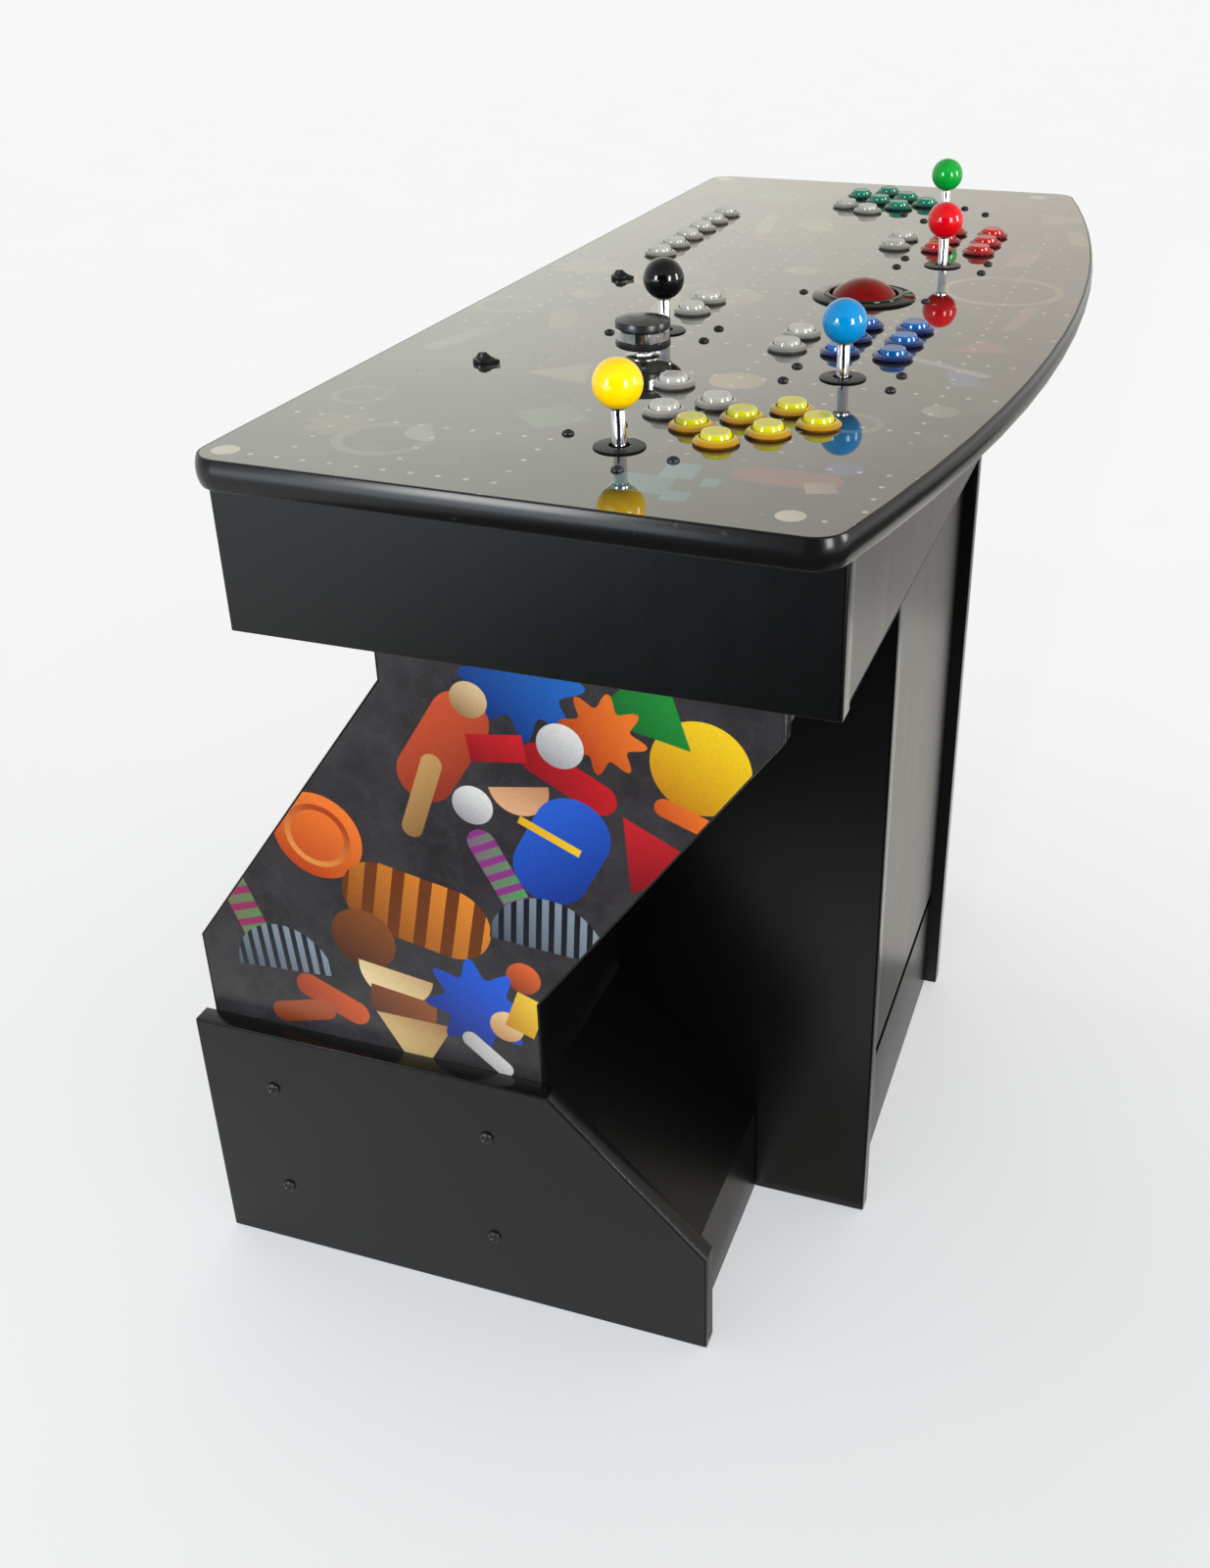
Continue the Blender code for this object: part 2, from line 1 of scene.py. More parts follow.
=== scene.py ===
"""Looks of a pedestal arcade cabinet: a wide control deck on a box, a column and a Z-shaped leg.

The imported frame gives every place. Each sub-assembly is a class that models its pieces with
operators and dresses them with node materials, all in metres, +Z up, players at -Y.
"""
from __future__ import annotations

import logging
import math
from collections.abc import Callable, Sequence
from dataclasses import dataclass, field
from enum import Enum

import bmesh
import bpy
from mathutils import Matrix, Vector

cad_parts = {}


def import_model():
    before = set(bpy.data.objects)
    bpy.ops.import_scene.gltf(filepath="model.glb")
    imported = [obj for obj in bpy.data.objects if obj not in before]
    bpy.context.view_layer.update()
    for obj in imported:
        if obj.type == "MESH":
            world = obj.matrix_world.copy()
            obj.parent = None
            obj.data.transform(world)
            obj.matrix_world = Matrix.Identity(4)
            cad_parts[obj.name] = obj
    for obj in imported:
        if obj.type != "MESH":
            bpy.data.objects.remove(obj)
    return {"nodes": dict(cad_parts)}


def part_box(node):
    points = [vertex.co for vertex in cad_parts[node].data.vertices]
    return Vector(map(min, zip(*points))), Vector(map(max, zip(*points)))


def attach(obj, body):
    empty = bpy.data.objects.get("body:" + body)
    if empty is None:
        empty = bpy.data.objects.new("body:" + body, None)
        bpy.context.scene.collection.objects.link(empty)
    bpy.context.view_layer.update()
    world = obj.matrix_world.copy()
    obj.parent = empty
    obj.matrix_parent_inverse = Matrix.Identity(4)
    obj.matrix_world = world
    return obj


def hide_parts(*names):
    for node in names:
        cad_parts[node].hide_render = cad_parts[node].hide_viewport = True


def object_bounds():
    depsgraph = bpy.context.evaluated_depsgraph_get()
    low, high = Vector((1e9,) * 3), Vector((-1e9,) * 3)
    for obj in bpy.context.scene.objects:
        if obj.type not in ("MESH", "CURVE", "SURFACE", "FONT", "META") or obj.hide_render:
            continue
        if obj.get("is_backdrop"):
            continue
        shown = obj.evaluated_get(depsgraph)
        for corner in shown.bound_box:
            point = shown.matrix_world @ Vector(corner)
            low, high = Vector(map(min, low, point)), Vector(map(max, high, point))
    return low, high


log = logging.getLogger("cabinet")

MM = 0.001
TURN = 2.0 * math.pi
MERGE = 0.00001
FLAT = math.radians(0.5)
UPRIGHT = 0.5
POLE = 0.03

Colour = tuple[float, float, float, float]
Profile = Sequence[tuple[float, float]]
Box = tuple[Vector, Vector]
Point = tuple[float, float, float]


def tint(red: float, green: float, blue: float) -> Colour:
    """Turns a display colour, 0 to 255, into a linear one."""

    def linear(part: float) -> float:
        """Takes the display curve off one channel."""
        share = part / 255.0
        return share / 12.92 if share <= 0.04045 else ((share + 0.055) / 1.055) ** 2.4

    return linear(red), linear(green), linear(blue), 1.0


def darker(colour: Colour, share: float) -> Colour:
    """Scales a colour down to a share of itself."""
    return tuple(part * share for part in colour[:3]) + (1.0,)


def grey(level: float) -> Colour:
    """Even grey of a linear level."""
    return level, level, level, 1.0


def metres(profile: Profile) -> list[tuple[float, float]]:
    """Turns a profile in millimetres into metres."""
    return [(wide * MM, high * MM) for wide, high in profile]


# ---------------------------------------------------------------- shader maths


class Wire:
    """One output socket that takes part in Python arithmetic."""

    def __init__(self, graph: Graph, socket: bpy.types.NodeSocket) -> None:
        """Keeps the socket and the graph that it belongs to."""
        self.graph = graph
        self.socket = socket

    def math(self, operation: str, *others: Wire | float) -> Wire:
        """Adds a Math node that starts from this value."""
        return self.graph.math(operation, self, *others)

    def __add__(self, other: Wire | float) -> Wire:
        """Sum."""
        return self.math("ADD", other)

    def __radd__(self, other: float) -> Wire:
        """Sum with a number on the left."""
        return self.math("ADD", other)

    def __sub__(self, other: Wire | float) -> Wire:
        """Difference."""
        return self.math("SUBTRACT", other)

    def __rsub__(self, other: float) -> Wire:
        """Difference from a number."""
        return self.graph.math("SUBTRACT", other, self)

    def __mul__(self, other: Wire | float) -> Wire:
        """Product."""
        return self.math("MULTIPLY", other)

    def __rmul__(self, other: float) -> Wire:
        """Product with a number on the left."""
        return self.math("MULTIPLY", other)

    def __truediv__(self, other: Wire | float) -> Wire:
        """Quotient."""
        return self.math("DIVIDE", other)

    def __gt__(self, other: Wire | float) -> Wire:
        """One where this value is the larger."""
        return self.math("GREATER_THAN", other)

    def __lt__(self, other: Wire | float) -> Wire:
        """One where this value is the smaller."""
        return self.math("LESS_THAN", other)

    def __abs__(self) -> Wire:
        """Value without its sign."""
        return self.math("ABSOLUTE")

    def __neg__(self) -> Wire:
        """Value with its sign turned."""
        return self.graph.math("SUBTRACT", 0.0, self)

    def most(self, other: Wire | float) -> Wire:
        """Larger of two values."""
        return self.math("MAXIMUM", other)

    def sine(self) -> Wire:
        """Sine of the value."""
        return self.math("SINE")

    def root(self) -> Wire:
        """Square root of the value."""
        return self.math("SQRT")

    def held(self) -> Wire:
        """Value held between 0 and 1."""
        return self.graph.node("ShaderNodeClamp", inputs={"Value": self})

    def ease(self, low: float, high: float, first: float = 0.0, last: float = 1.0) -> Wire:
        """Smooth step from first to last as the value goes from low to high."""
        return self.graph.node(
            "ShaderNodeMapRange",
            {"interpolation_type": "SMOOTHSTEP"},
            {"Value": self, "From Min": low, "From Max": high, "To Min": first, "To Max": last},
        )


class Graph:
    """A node tree that is built by expressions."""

    def __init__(self, tree: bpy.types.NodeTree) -> None:
        """Empties the tree and keeps it."""
        self.tree = tree
        self.tree.nodes.clear()

    def node(
        self,
        kind: str,
        settings: dict[str, object] | None = None,
        inputs: dict[int | str, object] | None = None,
        output: int | str = 0,
    ) -> Wire:
        """Adds one node.

        Args:
            kind: The node's type.
            settings: Properties that are set first.
            inputs: Values or wires by socket name or number.
            output: The output to hand back.

        Returns:
            The wire of that output.
        """
        made = self.tree.nodes.new(kind)
        for key, value in (settings or {}).items():
            setattr(made, key, value)
        for key, value in (inputs or {}).items():
            socket = made.inputs[key]
            if isinstance(value, Wire):
                self.tree.links.new(value.socket, socket)
            else:
                socket.default_value = value
        return Wire(self, made.outputs[output] if len(made.outputs) else None)

    def math(self, operation: str, *values: Wire | float) -> Wire:
        """Adds one Math node."""
        return self.node("ShaderNodeMath", {"operation": operation}, dict(enumerate(values)))

    def vector(self, operation: str, *values: object, output: int | str = 0) -> Wire:
        """Adds one Vector Math node."""
        return self.node("ShaderNodeVectorMath", {"operation": operation}, dict(enumerate(values)), output)

    def mix(self, low: Wire | Colour, high: Wire | Colour, share: Wire | float) -> Wire:
        """Mixes two colours by a share from 0 to 1."""
        return self.node("ShaderNodeMix", {"data_type": "RGBA"}, {0: share, 6: low, 7: high}, 2)

    def place(self) -> Wire:
        """Point on the piece, in metres."""
        return self.node("ShaderNodeTexCoord", output="Object")

    def axes(self, point: Wire) -> tuple[Wire, Wire, Wire]:
        """Splits a point into its three coordinates."""
        split = self.tree.nodes.new("ShaderNodeSeparateXYZ")
        self.tree.links.new(point.socket, split.inputs[0])
        return Wire(self, split.outputs[0]), Wire(self, split.outputs[1]), Wire(self, split.outputs[2])

    def noise(
        self,
        point: Wire,
        scale: float,
        detail: float = 2.0,
        stretch: Point = (1.0, 1.0, 1.0),
        rough: float = 0.5,
    ) -> Wire:
        """Cloudy value from 0 to 1.

        Args:
            point: Where it is read.
            scale: Clouds per metre.
            detail: How many finer layers it has.
            stretch: Extra scale along each axis.
            rough: Strength of the finer layers.

        Returns:
            The value's wire.
        """
        spot = self.vector("MULTIPLY", point, stretch)
        inputs = {"Vector": spot, "Scale": scale, "Detail": detail, "Roughness": rough}
        return self.node("ShaderNodeTexNoise", {}, inputs)

    def bump(self, height: Wire, depth: float, strength: float = 1.0) -> Wire:
        """Turns a height from 0 to 1 into a normal, with its depth in metres."""
        return self.node("ShaderNodeBump", {}, {"Strength": strength, "Distance": depth, "Height": height})


class Finish:
    """A material that is made once and shared."""

    name: str
    _made: dict[str, bpy.types.Material] = {}

    def paint(self, graph: Graph, point: Wire) -> dict[str, object]:
        """Gives the shader's sockets; each finish has its own."""
        raise NotImplementedError

    def material(self) -> bpy.types.Material:
        """Makes the material, or finds it where it was made before."""
        if self.name not in Finish._made:
            made = bpy.data.materials.new(self.name)
            made.use_nodes = True
            graph = Graph(made.node_tree)
            shader = graph.node("ShaderNodeBsdfPrincipled", {}, self.paint(graph, graph.place()))
            graph.node("ShaderNodeOutputMaterial", {}, {"Surface": shader})
            Finish._made[self.name] = made
        return Finish._made[self.name]


# ---------------------------------------------------------------- printed shapes


class Form(Enum):
    """Outlines that the prints are composed of."""

    DISC = "disc"
    HALF = "half disc"
    BLOCK = "block"
    CAPSULE = "capsule"
    TRIANGLE = "triangle"
    RING = "ring"
    BURST = "burst"


@dataclass(frozen=True)
class Shape:
    """One printed shape, in millimetres on its plane."""

    form: Form
    middle: tuple[float, float]
    size: tuple[float, float]
    colour: tuple[int, int, int]
    shade: tuple[int, int, int]
    angle: float = 0.0
    bars: float = 0.0


class Print:
    """Draws shapes on a plane by their distance to the outline."""

    BLUR = 0.7 * MM
    BURST_POINTS = 8
    BURST_DEPTH = 0.22

    def __init__(self, graph: Graph, across: Wire, along: Wire) -> None:
        """Keeps the plane's two coordinates."""
        self.graph = graph
        self.spot = graph.node("ShaderNodeCombineXYZ", {}, {0: across, 1: along})

    def _local(self, shape: Shape) -> tuple[Wire, Wire]:
        """Coordinates about a shape's middle, turned by its angle."""
        turn = math.radians(shape.angle)
        middle = Vector(shape.middle) * MM
        pair = []
        for axis in (Vector((math.cos(turn), math.sin(turn))), Vector((-math.sin(turn), math.cos(turn)))):
            reach = self.graph.vector("DOT_PRODUCT", self.spot, (axis.x, axis.y, 0.0), output="Value")
            pair.append(reach - axis.dot(middle))
        return pair[0], pair[1]

    def _distance(self, shape: Shape, side: Wire, rise: Wire) -> Wire:
        """Distance to a shape's outline, negative inside.

        Args:
            shape: The shape.
            side: Coordinate along the shape.
            rise: Coordinate across the shape.

        Returns:
            The distance's wire.
        """
        first, second = (part * MM for part in shape.size)
        if shape.form is Form.BLOCK:
            return (abs(side) - first).most(abs(rise) - second)
        if shape.form is Form.CAPSULE:
            past = (abs(side) - (first - second)).most(0.0)
            return (past * past + rise * rise).root() - second
        if shape.form is Form.TRIANGLE:
            slope = abs(side) * 0.866 + rise * 0.5
            return slope.most(-rise) - first * 0.5
        reach = (side * side + rise * rise).root()
        if shape.form is Form.BURST:
            wave = (rise.math("ARCTAN2", side) * self.BURST_POINTS).sine()
            return reach * (wave * self.BURST_DEPTH + 1.0) - first
        if shape.form is Form.RING:
            return abs(reach - first) - second
        disc = reach - first
        return disc.most(-rise) if shape.form is Form.HALF else disc

    def draw(self, ground: Wire | Colour, shape: Shape, strength: float = 1.0) -> Wire:
        """Lays one shape over the ground.

        Args:
            ground: Colour so far.
            shape: What is laid on it.
            strength: How much of the ground it covers, up to 1.

        Returns:
            The colour with the shape on it.
        """
        side, rise = self._local(shape)
        mask = (0.5 - self._distance(shape, side, rise) / self.BLUR).held() * strength
        reach = max(shape.size) * MM
        lit = ((rise - side * 0.6) / (2.2 * reach) + 0.55).held()
        if shape.bars:
            lit = lit * ((side * (TURN / (shape.bars * MM))).sine() > -0.15)
        fill = self.graph.mix(tint(*shape.shade), tint(*shape.colour), lit)
        return self.graph.mix(ground, fill, mask)


# ---------------------------------------------------------------- finishes


@dataclass(frozen=True)
class Laminate(Finish):
    """Black sheet board with a fine pressed grain."""

    name: str = "black_laminate"
    tone: float = 0.0034
    sheen: float = 0.31
    level: float = 0.36
    grain: float = 1100.0
    grain_depth: float = 0.00007

    def ground(self, graph: Graph, point: Wire) -> dict[str, object]:
        """Sockets of the bare board.

        Args:
            graph: The material's graph.
            point: The point on the board.

        Returns:
            The shader's inputs.
        """
        _, _, rise = graph.axes(point)
        pebbles = graph.noise(point, self.grain, 1.0)
        cloud = graph.noise(point, 5.0, 4.0)
        streaks = graph.noise(point, 60.0, 3.0, (1.0, 1.0, 0.12))
        scuffs = graph.noise(point, 24.0, 6.0, (0.5, 0.5, 2.0), 0.7).ease(0.60, 0.72)
        foot = rise.ease(0.0, 0.16, 1.0, 0.0)
        dust = (foot * cloud * 0.5 + scuffs * 0.10).held()
        dark = (self.tone * 0.75, self.tone * 0.76, self.tone * 0.80, 1.0)
        pale = (self.tone * 1.35, self.tone * 1.34, self.tone * 1.38, 1.0)
        board = graph.mix(dark, pale, pebbles * 0.6 + cloud * 0.4)
        colour = graph.mix(board, (0.060, 0.056, 0.050, 1.0), dust * 0.16)
        rough = self.sheen + (pebbles - 0.5) * 0.16 + (streaks - 0.5) * 0.06 + dust * 0.12
        return {
            "Base Color": colour,
            "Roughness": rough,
            "Normal": graph.bump(pebbles * 0.8 + streaks * 0.2, self.grain_depth, 0.55),
            "Specular IOR Level": self.level,
        }

    def paint(self, graph: Graph, point: Wire) -> dict[str, object]:
        """Bare board."""
        return self.ground(graph, point)


SIDE_SHAPES = (
    Shape(Form.BURST, (4, 697), (44, 0), (30, 110, 205), (14, 52, 130), 10),
    Shape(Form.CAPSULE, (80, 622), (62, 27), (214, 84, 44), (120, 40, 28), -58),
    Shape(Form.CAPSULE, (104, 570), (46, 10), (206, 160, 96), (120, 84, 50), -70),
    Shape(Form.DISC, (52, 672), (17, 0), (226, 196, 150), (150, 112, 70)),
    Shape(Form.DISC, (-149, 642), (43, 0), (250, 208, 20), (196, 128, 6)),
    Shape(Form.TRIANGLE, (-104, 690), (50, 0), (36, 160, 62), (12, 84, 34), 12),
    Shape(Form.BURST, (-66, 659), (30, 0), (240, 118, 34), (180, 60, 14), 20),
    Shape(Form.CAPSULE, (-34, 612), (46, 15), (206, 24, 34), (120, 10, 20), 28),
    Shape(Form.DISC, (-28, 642), (21, 0), (226, 226, 224), (150, 150, 156)),
    Shape(Form.BLOCK, (30, 630), (26, 13), (206, 26, 34), (132, 12, 22), -8),
    Shape(Form.HALF, (12, 596), (28, 0), (226, 172, 128), (170, 112, 76), 170),
    Shape(Form.DISC, (56, 570), (19, 0), (228, 228, 226), (150, 150, 156)),
    Shape(Form.CAPSULE, (-24, 538), (58, 35), (38, 96, 214), (16, 44, 132), -62),
    Shape(Form.BLOCK, (-14, 552), (30, 4), (250, 210, 40), (220, 160, 20), 24),
    Shape(Form.TRIANGLE, (-106, 548), (44, 0), (206, 30, 40), (120, 10, 22), -34),
    Shape(Form.CAPSULE, (-134, 594), (26, 9), (244, 120, 40), (190, 70, 20), 20),
    Shape(Form.CAPSULE, (36, 506), (44, 14), (64, 168, 78), (140, 52, 132), 62, 15),
    Shape(Form.DISC, (214, 508), (45, 0), (246, 124, 44), (188, 66, 18)),
    Shape(Form.RING, (214, 508), (30, 3), (176, 66, 18), (236, 150, 70)),
    Shape(Form.CAPSULE, (306, 416), (50, 15), (44, 162, 76), (150, 44, 96), 70, 17),
    Shape(Form.CAPSULE, (122, 446), (74, 38), (236, 142, 44), (112, 56, 20), 11, 27),
    Shape(Form.HALF, (-6, 430), (56, 0), (132, 146, 160), (26, 30, 38), 4, 12),
    Shape(Form.HALF, (268, 346), (52, 0), (132, 146, 160), (26, 30, 38), -4, 12),
    Shape(Form.CAPSULE, (222, 322), (40, 14), (222, 96, 44), (138, 44, 22), 24),
    Shape(Form.DISC, (180, 402), (33, 0), (136, 76, 34), (74, 36, 16)),
    Shape(Form.HALF, (150, 372), (38, 0), (240, 216, 164), (180, 130, 76), 188),
    Shape(Form.BLOCK, (146, 332), (34, 15), (150, 84, 38), (86, 42, 20), 8),
    Shape(Form.TRIANGLE, (136, 296), (46, 0), (240, 214, 150), (150, 92, 44), 180),
    Shape(Form.CAPSULE, (256, 300), (36, 12), (186, 90, 44), (110, 44, 20), -16),
    Shape(Form.DISC, (20, 394), (17, 0), (224, 104, 50), (150, 54, 22)),
    Shape(Form.BURST, (68, 350), (42, 0), (30, 92, 216), (14, 40, 130), 5),
    Shape(Form.DISC, (40, 334), (17, 0), (240, 206, 150), (190, 140, 90)),
    Shape(Form.BLOCK, (20, 352), (15, 22), (246, 206, 60), (200, 140, 20), 20),
    Shape(Form.CAPSULE, (62, 296), (30, 9), (232, 230, 226), (150, 150, 150), 40),
)


@dataclass(frozen=True)
class SideArt(Laminate):
    """Leg board with a bold composition of plain geometric shapes printed on its outer face."""

    name: str = "side_print"
    outer: float = 0.4171
    strength: float = 0.66

    def paint(self, graph: Graph, point: Wire) -> dict[str, object]:
        """Board with the print on it.

        Args:
            graph: The material's graph.
            point: The point on the board.

        Returns:
            The shader's inputs.
        """
        sockets = self.ground(graph, point)
        across, along, rise = graph.axes(point)
        face = abs(across) > self.outer
        cloud = graph.noise(point, 13.0, 6.0, rough=0.62)
        veins = abs(graph.noise(point, 22.0, 5.0, rough=0.6) - 0.5).ease(0.0, 0.05, 1.0, 0.0)
        ground = graph.mix(tint(44, 41, 43), tint(60, 57, 60), cloud.ease(0.35, 0.68))
        canvas = graph.mix(ground, tint(84, 80, 84), veins * 0.16)
        sheet = Print(graph, along, rise)
        for shape in SIDE_SHAPES:
            canvas = sheet.draw(canvas, shape)
        grit = graph.noise(point, 700.0, 1.0)
        canvas = graph.mix(canvas, tint(24, 24, 26), (grit - 0.42).held() * 0.5)
        canvas = graph.mix(tint(0, 0, 0), canvas, self.strength)
        sockets["Base Color"] = graph.mix(sockets["Base Color"], canvas, face)
        sockets["Roughness"] = sockets["Roughness"] * (1.0 - face * 0.18)
        return sockets


DECK_SHAPES = (
    Shape(Form.BLOCK, (-536, -150), (17, 20), (92, 150, 156), (74, 128, 134), 3),
    Shape(Form.BLOCK, (-506, -166), (15, 12), (104, 160, 166), (80, 134, 140), 3),
    Shape(Form.BLOCK, (-552, -178), (9, 9), (92, 150, 156), (74, 128, 134), 3),
    Shape(Form.BLOCK, (-522, -192), (8, 6), (92, 150, 156), (74, 128, 134), 3),
    Shape(Form.CAPSULE, (-498, -236), (38, 15), (164, 76, 62), (120, 66, 58), 88),
    Shape(Form.BLOCK, (-510, -262), (10, 10), (184, 168, 150), (140, 124, 108), 20),
    Shape(Form.DISC, (-470, -268), (13, 0), (72, 98, 156), (64, 80, 116)),
    Shape(Form.DISC, (-297, -140), (22, 0), (196, 170, 118), (170, 146, 104)),
    Shape(Form.RING, (-508, 52), (32, 4), (128, 134, 110), (98, 106, 88)),
    Shape(Form.BURST, (-486, 96), (24, 0), (134, 112, 84), (106, 92, 74), 10),
    Shape(Form.HALF, (-484, 26), (20, 0), (160, 156, 144), (118, 114, 106), 30),
    Shape(Form.RING, (-420, 118), (20, 3), (118, 122, 104), (92, 98, 84)),
    Shape(Form.CAPSULE, (-162, 62), (34, 12), (160, 118, 82), (116, 90, 70), 20),
    Shape(Form.DISC, (-71, 76), (15, 0), (170, 130, 86), (124, 96, 70)),
    Shape(Form.TRIANGLE, (-317, -7), (34, 0), (172, 152, 108), (128, 110, 84), 15),
    Shape(Form.CAPSULE, (-250, 120), (40, 9), (150, 144, 126), (112, 106, 94), -14),
    Shape(Form.RING, (-130, 132), (26, 4), (146, 128, 98), (110, 98, 80)),
    Shape(Form.BURST, (40, 118), (30, 0), (150, 132, 100), (112, 100, 82), 15),
    Shape(Form.CAPSULE, (-92, -8), (52, 11), (176, 160, 116), (136, 120, 92), 12),
    Shape(Form.HALF, (-40, -48), (36, 0), (160, 134, 96), (118, 100, 78), 195),
    Shape(Form.RING, (20, 22), (40, 5), (158, 128, 128), (116, 98, 98)),
    Shape(Form.TRIANGLE, (-141, -307), (30, 0), (170, 74, 64), (124, 68, 62), 40),
    Shape(Form.BLOCK, (-236, -306), (20, 12), (84, 116, 160), (78, 96, 122), 18),
    Shape(Form.CAPSULE, (-206, -286), (44, 5), (176, 176, 178), (130, 130, 132), 62),
    Shape(Form.DISC, (-325, -305), (14, 0), (168, 164, 156), (124, 120, 112)),
    Shape(Form.RING, (-372, -250), (20, 3), (160, 156, 148), (116, 112, 104)),
    Shape(Form.CAPSULE, (208, -290), (34, 12), (176, 112, 108), (128, 90, 88), -10),
    Shape(Form.RING, (64, -290), (54, 4), (176, 164, 112), (146, 136, 100)),
    Shape(Form.CAPSULE, (-34, -322), (46, 6), (172, 112, 100), (138, 94, 86), -6),
    Shape(Form.HALF, (320, -60), (40, 0), (160, 146, 92), (122, 112, 82), 20),
    Shape(Form.CAPSULE, (300, 10), (58, 8), (178, 166, 124), (140, 130, 104), 8),
    Shape(Form.RING, (244, -24), (26, 5), (162, 98, 90), (118, 88, 82)),
    Shape(Form.BURST, (470, 40), (36, 0), (106, 138, 108), (92, 112, 94), 0),
    Shape(Form.CAPSULE, (60, 20), (44, 14), (124, 106, 144), (102, 92, 112), 35),
    Shape(Form.BLOCK, (-424, -40), (22, 22), (108, 136, 102), (92, 110, 88), 45),
    Shape(Form.TRIANGLE, (430, -300), (40, 0), (150, 120, 86), (112, 96, 78), 70),
    Shape(Form.DISC, (90, -90), (20, 0), (164, 150, 116), (122, 112, 92)),
    Shape(Form.CAPSULE, (330, -330), (40, 9), (168, 150, 110), (126, 114, 90), 14),
    Shape(Form.BLOCK, (500, -120), (26, 12), (166, 122, 96), (124, 98, 82), -20),
)


@dataclass(frozen=True)
class DeckPrint(Finish):
    """Clear polished sheet over a dark, faint print of dots and plain shapes."""

    name: str = "deck_print"
    column: float = 0.0232
    row: float = 0.0200
    origin: tuple[float, float] = (-0.380, 0.101)
    dot: float = 0.0020
    lane: int = 4
    seal: float = 0.0098
    seal_places: tuple[tuple[float, float], ...] = (
        (-0.563, 0.142),
        (0.563, 0.142),
        (-0.563, -0.257),
        (0.563, -0.257),
    )

    def _dots(self, graph: Graph, across: Wire, along: Wire) -> Wire:
        """Mask of small dots in straight rows.

        Args:
            graph: The material's graph.
            across: Coordinate along the deck.
            along: Coordinate from the players to the rear.

        Returns:
            One on a dot, zero off it.
        """
        columns = (across - self.origin[0]) / self.column
        rows = (along - self.origin[1]) / self.row
        column = columns.math("ROUND")
        row = rows.math("ROUND")
        aside = (columns - column) * self.column
        ahead = (rows - row) * self.row
        reach = (aside * aside + ahead * ahead).root()
        on_column = abs(column.math("FLOORED_MODULO", float(self.lane))) < 0.5
        on_row = abs(row.math("FLOORED_MODULO", float(self.lane))) < 0.5
        return (0.5 - (reach - self.dot) / (0.6 * MM)).held() * on_column.most(on_row)

    def paint(self, graph: Graph, point: Wire) -> dict[str, object]:
        """Print and polish.

        Args:
            graph: The material's graph.
            point: The point on the sheet.

        Returns:
            The shader's inputs.
        """
        across, along, _ = graph.axes(point)
        cloud = graph.noise(point, 9.0, 5.0, rough=0.6)
        fine = graph.noise(point, 34.0, 5.0, rough=0.65)
        ground = graph.mix(tint(36, 37, 36), tint(70, 68, 61), cloud.ease(0.3, 0.7))
        ground = graph.mix(ground, tint(104, 98, 80), fine.ease(0.56, 0.72) * 0.5)
        flecks = graph.noise(point, 75.0, 4.0, (1.0, 1.6, 1.0), 0.7)
        ground = graph.mix(ground, tint(30, 33, 32), flecks.ease(0.55, 0.66) * 0.5)
        sheet = Print(graph, across, along)
        for shape in DECK_SHAPES:
            ground = sheet.draw(ground, shape, 0.75)
        worn = graph.noise(point, 6.0, 2.0).ease(0.36, 0.52)
        ground = graph.mix(ground, tint(228, 222, 206), self._dots(graph, across, along) * worn * 0.8)
        for middle in self.seal_places:
            spot = tuple(part / MM for part in middle)
            seal = Shape(Form.DISC, spot, (self.seal / MM, 0), (232, 222, 204), (214, 204, 184))
            ground = sheet.draw(ground, seal, 0.9)
        smears = graph.noise(point, 16.0, 4.0, (1.0, 0.35, 1.0))
        rough = 0.035 + smears.ease(0.45, 0.8) * 0.035
        return {
            "Base Color": ground,
            "Roughness": rough,
            "Normal": graph.bump(graph.noise(point, 7.0, 1.0), 0.0003, 0.06),
            "Coat Weight": 1.0,
            "Coat Roughness": 0.02,
            "Coat IOR": 1.49,
        }


@dataclass(frozen=True)
class EdgeBand(Finish):
    """Black moulding pressed on board edges: satin with fine drawn lines along it."""

    name: str = "edge_band"
    tone: float = 0.004
    sheen: float = 0.22
    level: float = 0.30

    def paint(self, graph: Graph, point: Wire) -> dict[str, object]:
        """Drawn satin plastic."""
        lines = graph.noise(point, 260.0, 2.0, (0.03, 0.03, 1.0))
        nicks = graph.noise(point, 130.0, 5.0, rough=0.7).ease(0.62, 0.74)
        black = (self.tone, self.tone, self.tone * 1.05, 1.0)
        colour = graph.mix(black, grey(0.03), nicks * 0.3)
        rough = self.sheen + (lines - 0.5) * 0.12 + nicks * 0.15
        return {
            "Base Color": colour,
            "Roughness": rough,
            "Normal": graph.bump(lines, 0.00002, 0.4),
            "Specular IOR Level": self.level,
        }


@dataclass(frozen=True)
class Metal(Finish):
    """Metal with turned or brushed marks."""

    name: str
    colour: Colour
    sheen: float
    marks: float = 900.0
    metallic: float = 1.0
    depth: float = 0.00002

    def paint(self, graph: Graph, point: Wire) -> dict[str, object]:
        """Fine rings with a little tarnish."""
        rings = graph.noise(point, self.marks, 2.0, (0.08, 0.08, 1.0))
        haze = graph.noise(point, 70.0, 4.0)
        dull = darker(self.colour, 0.72)
        sockets = {
            "Base Color": graph.mix(self.colour, dull, haze.ease(0.45, 0.8)),
            "Metallic": self.metallic,
            "Roughness": self.sheen * (0.75 + rings * 0.5 + haze.ease(0.5, 0.8) * 0.6),
        }
        if self.depth:
            sockets["Normal"] = graph.bump(rings, self.depth, 0.5)
        return sockets


